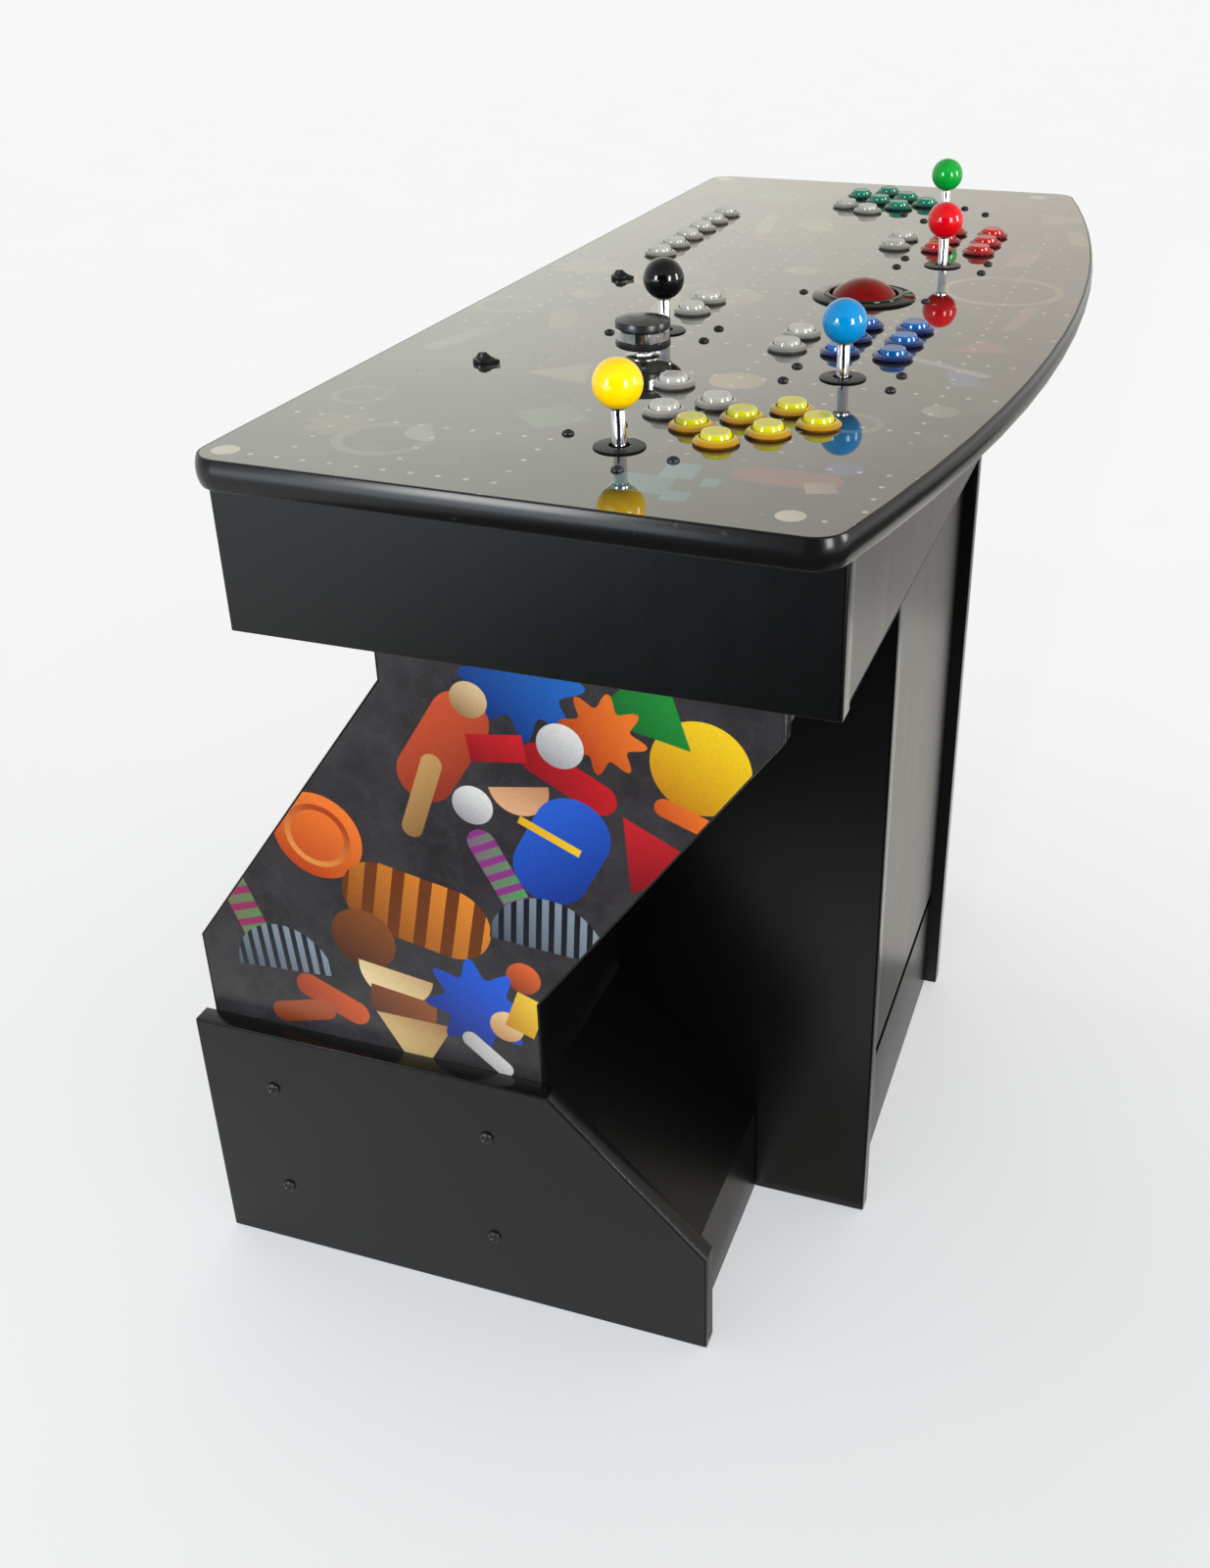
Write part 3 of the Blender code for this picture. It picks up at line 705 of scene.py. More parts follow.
@dataclass(frozen=True)
class Glossy(Finish):
    """Polished moulded plastic in one colour."""

    name: str
    colour: Colour
    deep: Colour
    sheen: float = 0.06
    level: float = 0.5

    def paint(self, graph: Graph, point: Wire) -> dict[str, object]:
        """Polish with hairline scratches."""
        cloud = graph.noise(point, 120.0, 3.0)
        hairs = graph.noise(point, 900.0, 3.0, (1.0, 0.2, 0.4)).ease(0.62, 0.75)
        return {
            "Base Color": graph.mix(self.colour, self.deep, cloud.ease(0.35, 0.75) * 0.5),
            "Roughness": self.sheen + hairs * 0.10 + cloud * 0.03,
            "Normal": graph.bump(cloud, 0.00002, 0.2),
            "Specular IOR Level": self.level,
        }


@dataclass(frozen=True)
class Tinted(Finish):
    """Tinted translucent button plastic: a frosted cap in a darker, clearer rim."""

    name: str
    cap: Colour
    side: Colour
    deck: float
    clear: float = 0.0
    level: float = 0.5

    def paint(self, graph: Graph, point: Wire) -> dict[str, object]:
        """Colour by height, with painted shade darkening the rim towards the deck and a painted highlight on
        the cap's top edge; frost on the cap's top.

        Args:
            graph: The material's graph.
            point: The point on the button.

        Returns:
            The shader's inputs.
        """
        _, _, rise = graph.axes(point)
        height = (rise - self.deck) / MM
        top = height.ease(7.6, 8.5)
        collar = height.ease(3.4, 4.6) * height.ease(4.9, 5.3, 1.0, 0.0)
        frost = graph.noise(point, 1500.0, 2.0)
        swirl = graph.noise(point, 210.0, 3.0)
        # Painted shade: the rim's wall is drawn darker towards the deck, from about 3 mm down to its foot.
        deep = darker(self.side, 0.45)
        wall = graph.mix(deep, self.side, height.ease(0.6, 3.0) * 0.8 + swirl * 0.2)
        wall = graph.mix(wall, self.cap, collar * 0.5)
        stem = height.ease(4.6, 5.6)
        # Painted highlight: a pale tint of the cap's colour laid on the cap's top edge, above about 8.7 mm.
        pale = tuple(0.55 + part * 0.45 for part in self.cap[:3]) + (1.0,)
        colour = graph.mix(wall, self.cap, stem * (0.82 + frost * 0.18))
        colour = graph.mix(colour, pale, height.ease(8.72, 8.92) * 0.38)
        return {
            "Base Color": colour,
            "Roughness": 0.045 + top * 0.10 + (frost - 0.5) * 0.02,
            "Normal": graph.bump(frost * top + swirl * 0.3, 0.00003, 0.4),
            "Specular IOR Level": self.level,
            "Transmission Weight": self.clear,
            "IOR": 1.49,
        }


@dataclass(frozen=True)
class Board(Finish):
    """Raw dark board under the printed sheet."""

    name: str = "raw_board"

    def paint(self, graph: Graph, point: Wire) -> dict[str, object]:
        """Pressed fibre."""
        fibre = graph.noise(point, 320.0, 5.0, (0.3, 1.0, 1.0), 0.65)
        colour = graph.mix((0.022, 0.018, 0.015, 1.0), (0.050, 0.042, 0.034, 1.0), fibre)
        return {
            "Base Color": colour,
            "Roughness": 0.62 + fibre * 0.2,
            "Normal": graph.bump(fibre, 0.0002, 0.5),
        }


BALL_COLOURS = {
    "yellow": ((255, 208, 0), (250, 190, 0)),
    "black": ((5, 5, 5), (2, 2, 2)),
    "blue": ((0, 132, 192), (0, 116, 180)),
    "red": ((212, 0, 16), (190, 0, 12)),
    "green": ((0, 158, 52), (0, 138, 44)),
}

BUTTON_COLOURS = {
    "yellow": ((200, 198, 12), (176, 124, 0), 0.0, 0.7),
    "blue": ((0, 92, 164), (2, 17, 80), 0.0, 0.7),
    "red": ((196, 18, 20), (128, 0, 14), 0.0, 0.7),
    "green": ((0, 128, 98), (0, 76, 60), 0.0, 0.7),
    "clear": ((220, 219, 212), (158, 156, 148), 0.38, 0.8),
}


class Palette:
    """Every finish of the cabinet."""

    def __init__(self, deck: float) -> None:
        """Makes the finishes; deck is the height of the deck's top."""
        self.laminate = Laminate()
        self.side_art = SideArt()
        self.deck_print = DeckPrint()
        self.band = EdgeBand()
        self.board = Board()
        self.chrome = Metal("polished_steel", (0.80, 0.81, 0.83, 1.0), 0.06, 500.0, 1.0, 0.0)
        self.washer = Metal("bright_washer", (0.46, 0.47, 0.48, 1.0), 0.24, 500.0)
        self.black_steel = Metal("black_steel", (0.030, 0.030, 0.032, 1.0), 0.32, 700.0, 0.55)
        self.hinge = Metal("hinge_steel", grey(0.22), 0.34, 300.0)
        self.anodised = Metal("black_anodised", (0.018, 0.018, 0.020, 1.0), 0.26, 1300.0, 0.35, 0.00001)
        self.bezel = Glossy("bezel_black", grey(0.006), grey(0.003), 0.07, 0.24)
        self.disc = Glossy("washer_black", grey(0.006), grey(0.003), 0.22, 0.16)
        self.knob = Glossy("knob_black", grey(0.006), grey(0.010), 0.28, 0.4)
        self.trackball = Glossy("trackball_red", tint(116, 1, 1), tint(86, 0, 1), 0.16, 0.22)
        self.balls = {
            name: Glossy(f"ball_{name}", tint(*bright), tint(*dark), 0.035)
            for name, (bright, dark) in BALL_COLOURS.items()
        }
        self.buttons = {
            name: Tinted(f"button_{name}", tint(*cap), tint(*side), deck, clear, level)
            for name, (cap, side, clear, level) in BUTTON_COLOURS.items()
        }


# ---------------------------------------------------------------- the bench


class Pick(Enum):
    """What is selected in edit mode."""

    CORNERS = "VERT"
    EDGES = "EDGE"
    FACES = "FACE"


class Bench:
    """Models pieces with operators, as by hand."""

    SMOOTH = math.radians(32.0)

    @staticmethod
    def clear() -> None:
        """Deselects everything."""
        bpy.ops.object.select_all(action="DESELECT")

    @staticmethod
    def take(piece: bpy.types.Object) -> None:
        """Selects one piece and makes it the active one."""
        Bench.clear()
        piece.select_set(True)
        bpy.context.view_layer.objects.active = piece

    @staticmethod
    def edit(piece: bpy.types.Object) -> None:
        """Opens a piece in edit mode, all of it selected."""
        Bench.take(piece)
        bpy.ops.object.mode_set(mode="EDIT")
        bpy.ops.mesh.select_mode(type="VERT")
        bpy.ops.mesh.select_all(action="SELECT")

    @staticmethod
    def leave() -> None:
        """Goes back to object mode."""
        bpy.ops.object.mode_set(mode="OBJECT")

    @staticmethod
    def pick(piece: bpy.types.Object, kind: Pick, test: Callable[[object], bool]) -> int:
        """Selects what passes a test in edit mode.

        Args:
            piece: The piece that is open.
            kind: Corners, edges or faces.
            test: Says which of them are wanted.

        Returns:
            How many were selected.
        """
        bpy.ops.mesh.select_mode(type=kind.value)
        bpy.ops.mesh.select_all(action="DESELECT")
        mesh = bmesh.from_edit_mesh(piece.data)
        items = {Pick.CORNERS: mesh.verts, Pick.EDGES: mesh.edges, Pick.FACES: mesh.faces}[kind]
        chosen = [item for item in items if test(item)]
        for item in chosen:
            item.select_set(True)
        mesh.select_flush_mode()
        bmesh.update_edit_mesh(piece.data)
        return len(chosen)

    @staticmethod
    def modify(piece: bpy.types.Object, kind: str, **settings: object) -> None:
        """Adds a modifier and applies it."""
        Bench.take(piece)
        made = piece.modifiers.new(kind.title(), kind)
        for key, value in settings.items():
            setattr(made, key, value)
        bpy.ops.object.modifier_apply(modifier=made.name)

    @staticmethod
    def finish(piece: bpy.types.Object, angle: float = SMOOTH) -> bpy.types.Object:
        """Puts the place into the mesh and smooths the shading.

        Args:
            piece: The piece, in object mode.
            angle: Edges sharper than this stay sharp.

        Returns:
            The same piece.
        """
        Bench.take(piece)
        bpy.ops.object.transform_apply(location=True, rotation=True, scale=True)
        bpy.ops.object.shade_smooth_by_angle(angle=angle)
        return piece

    @staticmethod
    def turned(
        name: str,
        profile: Profile,
        centre: Sequence[float] = (0.0, 0.0, 0.0),
        sides: int = 32,
        ring: bool = False,
    ) -> bpy.types.Object:
        """Turns a profile about a vertical line, by extruding and resizing a circle.

        Args:
            name: The piece's name.
            profile: Radius and height of each corner, from the bottom to the top for a solid.
            centre: Where radius and height are zero.
            sides: Corners round the circle.
            ring: Whether the profile closes on itself round a hole.

        Returns:
            The finished piece.
        """
        Bench.clear()
        radius, height = profile[0]
        centre = Vector(centre)
        bpy.ops.mesh.primitive_circle_add(
            vertices=sides,
            radius=radius,
            fill_type="NOTHING" if ring else "NGON",
            location=centre + Vector((0.0, 0.0, height)),
        )
        piece = bpy.context.active_object
        piece.name = piece.data.name = name
        bpy.ops.object.mode_set(mode="EDIT")
        bpy.ops.mesh.select_mode(type="EDGE" if ring else "FACE")
        bpy.ops.mesh.select_all(action="SELECT")
        corners = list(profile[1:]) + ([profile[0]] if ring else [])
        for wide, high in corners:
            bpy.ops.mesh.extrude_region_move(TRANSFORM_OT_translate={"value": (0.0, 0.0, high - height)})
            level = centre + Vector((0.0, 0.0, high))
            bpy.ops.transform.resize(value=(wide / radius, wide / radius, 1.0), center_override=level)
            radius, height = wide, high
        bpy.ops.mesh.select_all(action="SELECT")
        if ring:
            bpy.ops.mesh.remove_doubles(threshold=MERGE)
        bpy.ops.mesh.normals_make_consistent(inside=False)
        Bench.leave()
        return Bench.finish(piece)

    @staticmethod
    def copy(
        source: bpy.types.Object, name: str, place: Sequence[float], turn: float = 0.0
    ) -> bpy.types.Object:
        """Copies a piece with its own mesh.

        Args:
            source: The piece to copy, made at the origin.
            name: The copy's name.
            place: Where its origin goes.
            turn: How far it is turned about Z.

        Returns:
            The copy.
        """
        piece = source.copy()
        piece.data = source.data.copy()
        piece.name = piece.data.name = name
        piece.data.transform(Matrix.Translation(Vector(place)) @ Matrix.Rotation(turn, 4, "Z"))
        bpy.context.collection.objects.link(piece)
        return piece

    @staticmethod
    def outline(node: bpy.types.Object, name: str) -> bpy.types.Object:
        """Copies a CAD node's mesh as a new piece, open in edit mode with its flat faces merged."""
        piece = bpy.data.objects.new(name, node.data.copy())
        bpy.context.collection.objects.link(piece)
        Bench.edit(piece)
        bpy.ops.mesh.remove_doubles(threshold=MERGE)
        bpy.ops.mesh.dissolve_limited(angle_limit=FLAT)
        return piece

    @staticmethod
    def discard(piece: bpy.types.Object) -> None:
        """Removes a pattern piece that was only there to be copied."""
        bpy.data.objects.remove(piece)


@dataclass
class Shop:
    """What every sub-assembly shares: the frame, the finishes and the places on the deck."""

    nodes: dict[str, bpy.types.Object]
    palette: Palette
    deck: float
    pieces: list[bpy.types.Object] = field(default_factory=list)

    def dress(
        self,
        piece: bpy.types.Object,
        finish: Finish,
        slot: str,
        body: str = "cabinet",
        stands_for: Sequence[str] = (),
    ) -> bpy.types.Object:
        """Gives a new piece its material and body.

        Args:
            piece: The finished piece.
            finish: Its finish.
            slot: The material slot of the record; not used.
            body: The body that it rides on.
            stands_for: CAD nodes that it replaces.

        Returns:
            The same piece.
        """
        piece.data.materials.clear()
        piece.data.materials.append(finish.material())
        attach(piece, body)
        if stands_for:
            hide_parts(*stands_for)
        self.pieces.append(piece)
        log.info("%s rides on %s in %s", piece.name, body, finish.name)
        return piece

    def coat(self, name: str, finish: Finish, round_edges: float = 0.0) -> None:
        """Gives a CAD node its material and, if wanted, rounded edges.

        Args:
            name: The node.
            finish: Its finish.
            round_edges: Radius of its edges in metres.
        """
        node = self.nodes[name]
        for holder in node.material_slots:
            holder.material = finish.material()
        if not node.material_slots:
            node.data.materials.append(finish.material())
        if round_edges:
            weld = node.modifiers.new("Weld", "WELD")
            weld.merge_threshold = MERGE
            flat = node.modifiers.new("Flat", "DECIMATE")
            flat.decimate_type = "DISSOLVE"
            flat.angle_limit = FLAT
            edge = node.modifiers.new("Edge", "BEVEL")
            edge.width = round_edges
            edge.segments = 2
            edge.limit_method = "ANGLE"
            edge.angle_limit = math.radians(40.0)
            edge.use_clamp_overlap = False
        log.info("%s is in %s", name, finish.name)

    @staticmethod
    def middle(name: str) -> Vector:
        """Middle of a node's box."""
        low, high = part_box(name)
        return (low + high) / 2.0


# ---------------------------------------------------------------- carcass


@dataclass
class Carcass:
    """Base, leg, column and box: sheet board with moulded edges."""

    shop: Shop
    edge_radius: float = 0.0007
    band_thickness: float = 0.0019
    band_round: float = 0.0013
    boards: tuple[str, ...] = (
        "base_left_cheek",
        "base_right_cheek",
        "base_kick_panel",
        "leg_front_panel",
        "leg_rear_panel",
        "column_left_board",
        "column_right_board",
        "column_plinth",
        "column_door",
        "box_left_panel",
        "box_right_panel",
        "box_front_panel",
        "box_rear_panel",
        "box_floor",
    )

    def build(self) -> None:
        """Dresses the boards and bands their edges."""
        for name in self.boards:
            self.shop.coat(name, self.shop.palette.laminate, self.edge_radius)
        for name in ("leg_left_board", "leg_right_board"):
            self.shop.coat(name, self.shop.palette.side_art, self.edge_radius)
        self.shop.coat("column_door_hinge", self.shop.palette.hinge)
        for side in ("left", "right"):
            self.band(f"leg_{side}_board", lambda normal, spot: abs(normal.y) > 0.3)
            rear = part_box(f"base_{side}_cheek")[1].y - MM
            self.band(f"base_{side}_cheek", lambda normal, spot: normal.z > -0.5 and spot.y < rear)
            self.band(f"column_{side}_board", lambda normal, spot: normal.y < -0.9)
            self.band(f"box_{side}_panel", lambda normal, spot: normal.y < -0.9)
        # A black moulding under the box front's bottom edge; the dark line that it draws there also stands
        # in for the shade under the box's front edge.
        self.band("box_front_panel", lambda normal, spot: normal.z < -0.9)

    def band(self, node: str, keep: Callable[[Vector, Vector], bool]) -> bpy.types.Object:
        """Makes the moulding on a board's edge from the board's own edge faces.

        Args:
            node: The board.
            keep: Says by a face's normal and middle whether the moulding covers it.

        Returns:
            The moulding.
        """
        piece = Bench.outline(self.shop.nodes[node], f"{node}_band")

        def bare(face: bmesh.types.BMFace) -> bool:
            """Says whether a face stays without a moulding."""
            return abs(face.normal.x) > UPRIGHT or not keep(face.normal, face.calc_center_median())

        Bench.pick(piece, Pick.FACES, bare)
        bpy.ops.mesh.delete(type="FACE")
        Bench.leave()
        Bench.modify(piece, "SOLIDIFY", thickness=self.band_thickness, offset=1.0, use_even_offset=True)
        Bench.modify(
            piece,
            "BEVEL",
            width=self.band_round,
            segments=3,
            limit_method="ANGLE",
            angle_limit=math.radians(50.0),
        )
        Bench.finish(piece)
        return self.shop.dress(piece, self.shop.palette.band, "edge_molding")


# ---------------------------------------------------------------- deck


@dataclass
class Deck:
    """Deck board, printed sheet and the wide moulding round them."""

    shop: Shop
    band_round: float = 0.0007
    bow: float = 0.0024
    bow_steps: int = 8
    middle: tuple[float, float] = (0.0, -0.10)

    def build(self) -> None:
        """Dresses the sheet and makes the moulding."""
        self.shop.coat("deck_board", self.shop.palette.board)
        self.shop.coat("acrylic_overlay", self.shop.palette.deck_print)
        self.moulding()

    def moulding(self) -> bpy.types.Object:
        """Bows and rounds the CAD ring's outer wall on a copy that stands for it."""
        piece = Bench.outline(self.shop.nodes["edge_molding"], "deck_moulding")
        low, high = (corner.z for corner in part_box("edge_molding"))
        for step in range(1, self.bow_steps):
            bpy.ops.mesh.select_all(action="SELECT")
            level = low + (high - low) * step / self.bow_steps
            bpy.ops.mesh.bisect(plane_co=(0.0, 0.0, level), plane_no=(0.0, 0.0, 1.0))
        bowed = self._bow(piece, low, high)
        rounded = self._outer_edges(piece)
        log.info("deck_moulding bows %d corners and rounds %d edges", bowed, rounded)
        bpy.ops.mesh.bevel(offset=self.band_round, segments=3, affect="EDGES", clamp_overlap=True)
        Bench.leave()
        Bench.finish(piece)
        return self.shop.dress(piece, self.shop.palette.band, "edge_molding", stands_for=["edge_molding"])

    def _bow(self, piece: bpy.types.Object, low: float, high: float) -> int:
        """Draws the ring's outer wall in towards its top and bottom.

        Args:
            piece: The ring, open in edit mode.
            low: The ring's lowest height.
            high: The ring's highest height.

        Returns:
            How many corners moved.
        """
        middle = Vector((*self.middle, 0.0))
        mesh = bmesh.from_edit_mesh(piece.data)
        moves = []
        for corner in mesh.verts:
            outward = Vector()
            for face in corner.link_faces:
                if abs(face.normal.z) < UPRIGHT and face.normal.dot(corner.co - middle) > 0.0:
                    outward += face.normal
            if outward.length > UPRIGHT:
                lift = (2.0 * corner.co.z - low - high) / (high - low)
                moves.append((corner, outward.normalized() * (-self.bow * lift * lift)))
        for corner, move in moves:
            corner.co += move
        bmesh.update_edit_mesh(piece.data)
        return len(moves)

    def _outer_edges(self, piece: bpy.types.Object) -> int:
        """Selects the edges where the ring's level faces meet its outer wall."""
        middle = Vector((*self.middle, 0.0))

        def outer_edge(edge: bmesh.types.BMEdge) -> bool:
            """Says whether a level face meets the outer wall here."""
            if len(edge.link_faces) != 2:
                return False
            wall, level = sorted(edge.link_faces, key=lambda face: abs(face.normal.z))
            outward = wall.normal.dot((edge.verts[0].co + edge.verts[1].co) / 2.0 - middle)
            return abs(wall.normal.z) < UPRIGHT < abs(level.normal.z) and outward > 0.0

        return Bench.pick(piece, Pick.EDGES, outer_edge)


# ---------------------------------------------------------------- fasteners


BOLT_PLACES = ((292, 208), (293, 78), (61, 210), (62, 80))
BOLT_SCALE = 1.5


@dataclass
class Fasteners:
    """Black button-head screws with a hexagonal socket."""

    shop: Shop
    radius: float = 0.0045
    height: float = 0.0024
    socket: float = 0.0017
    depth: float = 0.0014
    sides: int = 24
    steps: int = 4
    turn: float = math.radians(37.0)
    turns: int = 0

    def head(self, name: str, scale: float = 1.0) -> bpy.types.Object:
        """Models one head, its seat at the origin and its top along +Z.

        Args:
            name: The piece's name.
            scale: Size against the small screw.

        Returns:
            The head.
        """
        radius, height, socket = self.radius * scale, self.height * scale, self.socket * scale
        profile = [(radius * 0.97, 0.0), (radius, height * 0.15)]
        for step in range(1, self.steps + 1):
            swing = 0.25 * TURN * step / (self.steps + 1)
            wide = radius * (0.40 + 0.60 * math.cos(swing))
            high = height * (0.15 + 0.85 * math.sin(swing))
            profile.append((wide, high))
        profile.append((socket * 1.45, height))
        piece = Bench.turned(name, profile, sides=self.sides)
        Bench.edit(piece)
        Bench.pick(piece, Pick.FACES, lambda face: face.normal.z > 0.9 and len(face.verts) > 4)
        bpy.ops.mesh.delete(type="FACE")
        bpy.ops.mesh.select_all(action="DESELECT")
        bpy.ops.mesh.primitive_circle_add(vertices=6, radius=socket, location=(0.0, 0.0, height))
        bpy.ops.mesh.extrude_region_move(TRANSFORM_OT_translate={"value": (0.0, 0.0, -self.depth * scale)})
        bpy.ops.mesh.edge_face_add()
        Bench.pick(piece, Pick.EDGES, lambda edge: edge.is_boundary)
        bpy.ops.mesh.bridge_edge_loops()
        bpy.ops.mesh.select_all(action="SELECT")
        bpy.ops.mesh.normals_make_consistent(inside=False)
        Bench.leave()
        return Bench.finish(piece)

    def on_deck(self, source: bpy.types.Object, name: str, across: float, along: float) -> None:
        """Sets one screw on the deck, its socket turned as it came to rest."""
        self.turns += 1
        place = (across, along, self.shop.deck + 0.0001)
        piece = Bench.copy(source, name, place, self.turn * self.turns)
        self.shop.dress(piece, self.shop.palette.black_steel, "hinge_metal")

    def on_cheek(self, places: Sequence[tuple[float, float]], scale: float) -> None:
        """Sets the bolts of both base cheeks.

        Args:
            places: Distance along and height of each bolt.
            scale: Size against the small screw.
        """
        pattern = self.head("bolt_pattern", scale)
        for side, sign in (("left", -1.0), ("right", 1.0)):
            low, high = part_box(f"base_{side}_cheek")
            face = low.x if sign < 0.0 else high.x
            for number, (along, rise) in enumerate(places, 1):
                turn = math.radians(23.0 * number)
                piece = Bench.copy(pattern, f"cheek_bolt_{side}_{number}", (0.0, 0.0, 0.0), turn)
                piece.data.transform(Matrix.Rotation(sign * 0.25 * TURN, 4, "Y"))
                piece.data.transform(Matrix.Translation((face, along, rise)))
                self.shop.dress(piece, self.shop.palette.black_steel, "hinge_metal")
        Bench.discard(pattern)


# ---------------------------------------------------------------- controls


@dataclass(frozen=True)
class Place:
    """One player's place on the deck."""

    colour: str
    turn: float
    clears: tuple[tuple[float, float], ...]

    def point(self, right: float, ahead: float) -> Vector:
        """Point on the deck at a distance from the stick, along the player's own axes."""
        middle = Shop.middle(f"stick_{self.colour}")
        swing = math.radians(self.turn)
        across = middle.x + right * math.cos(swing) - ahead * math.sin(swing)
        along = middle.y + right * math.sin(swing) + ahead * math.cos(swing)
        return Vector((across, along))


PLACES = (
    Place("yellow", -45.0, ((0.060, 0.054), (0.103, 0.054))),
    Place("black", 0.0, ((0.069, -0.002), (0.112, -0.003))),
    Place("blue", 0.0, ((0.068, 0.064), (0.113, 0.064))),
    Place("red", 0.0, ((0.068, 0.064), (0.113, 0.064))),
    Place("green", 45.0, ((0.054, 0.071), (0.092, 0.076))),
)


@dataclass
class Joysticks:
    """Ball tops on steel shafts, each with a dust washer and four screws."""

    shop: Shop
    fasteners: Fasteners
    ball: float = 0.0175
    shaft: float = 0.0050
    washer: float = 0.0185
    washer_hole: float = 0.0073
    washer_height: float = 0.0016
    screw_across: float = 0.041
    screw_ahead: float = 0.085
    sides: int = 48
    rings: int = 26
    drop: float = 0.0446
    tail: float = 0.020

    def build(self) -> None:
        """Makes every stick from one set of patterns."""
        ball = self.ball_pattern()
        shaft = self.shaft_pattern()
        washer = self.washer_pattern()
        screw = self.fasteners.head("screw_pattern")
        palette = self.shop.palette
        for place in PLACES:
            colour = place.colour
            low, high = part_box(f"stick_{colour}")
            middle = (low + high) / 2.0
            seat = (middle.x, middle.y, self.shop.deck)
            centre = (middle.x, middle.y, high.z - self.ball)
            top = Bench.copy(ball, f"stick_ball_{colour}", centre)
            body = f"stick_{colour}"
            self.shop.dress(top, palette.balls[colour], f"ball_{colour}", body, [body])
            rod = Bench.copy(shaft, f"stick_shaft_{colour}", centre)
            self.shop.dress(rod, palette.chrome, "gimbal_metal", body)
            disc = Bench.copy(washer, f"dust_washer_{colour}", seat)
            self.shop.dress(disc, palette.disc, "ring_plastic")
            for number in range(4):
                right = self.screw_across * (0.5 if number % 2 else -0.5)
                ahead = self.screw_ahead * (0.5 if number > 1 else -0.5)
                spot = place.point(right, ahead)
                self.fasteners.on_deck(screw, f"stick_screw_{colour}_{number + 1}", spot.x, spot.y)
            self.shop.coat(f"gimbal_{colour}", palette.chrome)
        for pattern in (ball, shaft, washer, screw):
            Bench.discard(pattern)

    def ball_pattern(self) -> bpy.types.Object:
        """Ball with a flat round the shaft, its middle at the origin."""
        start = math.asin(self.shaft * 1.35 / self.ball)
        profile = []
        for step in range(self.rings):
            swing = start + (math.pi - start - POLE) * step / (self.rings - 1)
            profile.append((self.ball * math.sin(swing), -self.ball * math.cos(swing)))
        return Bench.turned("ball_pattern", profile, sides=self.sides)

    def shaft_pattern(self) -> bpy.types.Object:
        """Shaft with a chamfered foot and a shoulder under the ball, its height from the ball's middle."""
        radius = self.shaft
        foot = -self.drop - self.tail
        under = -math.sqrt(self.ball**2 - radius**2)
        profile = (
            (radius * 0.70, foot),
            (radius, foot + 0.0015),
            (radius, under - 0.0016),
            (radius * 0.98, under - 0.0014),
            (radius * 0.98, under - 0.0010),
            (radius * 1.28, under - 0.0008),
            (radius * 1.28, under + 0.0010),
        )
        return Bench.turned("shaft_pattern", profile, sides=32)

    def washer_pattern(self) -> bpy.types.Object:
        """Dust washer: a thin disc with rounded rims round the shaft's hole."""
        hole, rim, height = self.washer_hole, self.washer, self.washer_height
        lip = 0.0004
        profile = (
            (hole, lip),
            (hole + 0.0001, height - lip),
            (hole + lip, height),
            (rim - 0.0022, height * 0.92),
            (rim - lip, height * 0.72),
            (rim, height * 0.42),
            (rim - lip, 0.0001),
            (hole + lip, 0.0001),
        )
        return Bench.turned("washer_pattern", profile, sides=self.sides, ring=True)


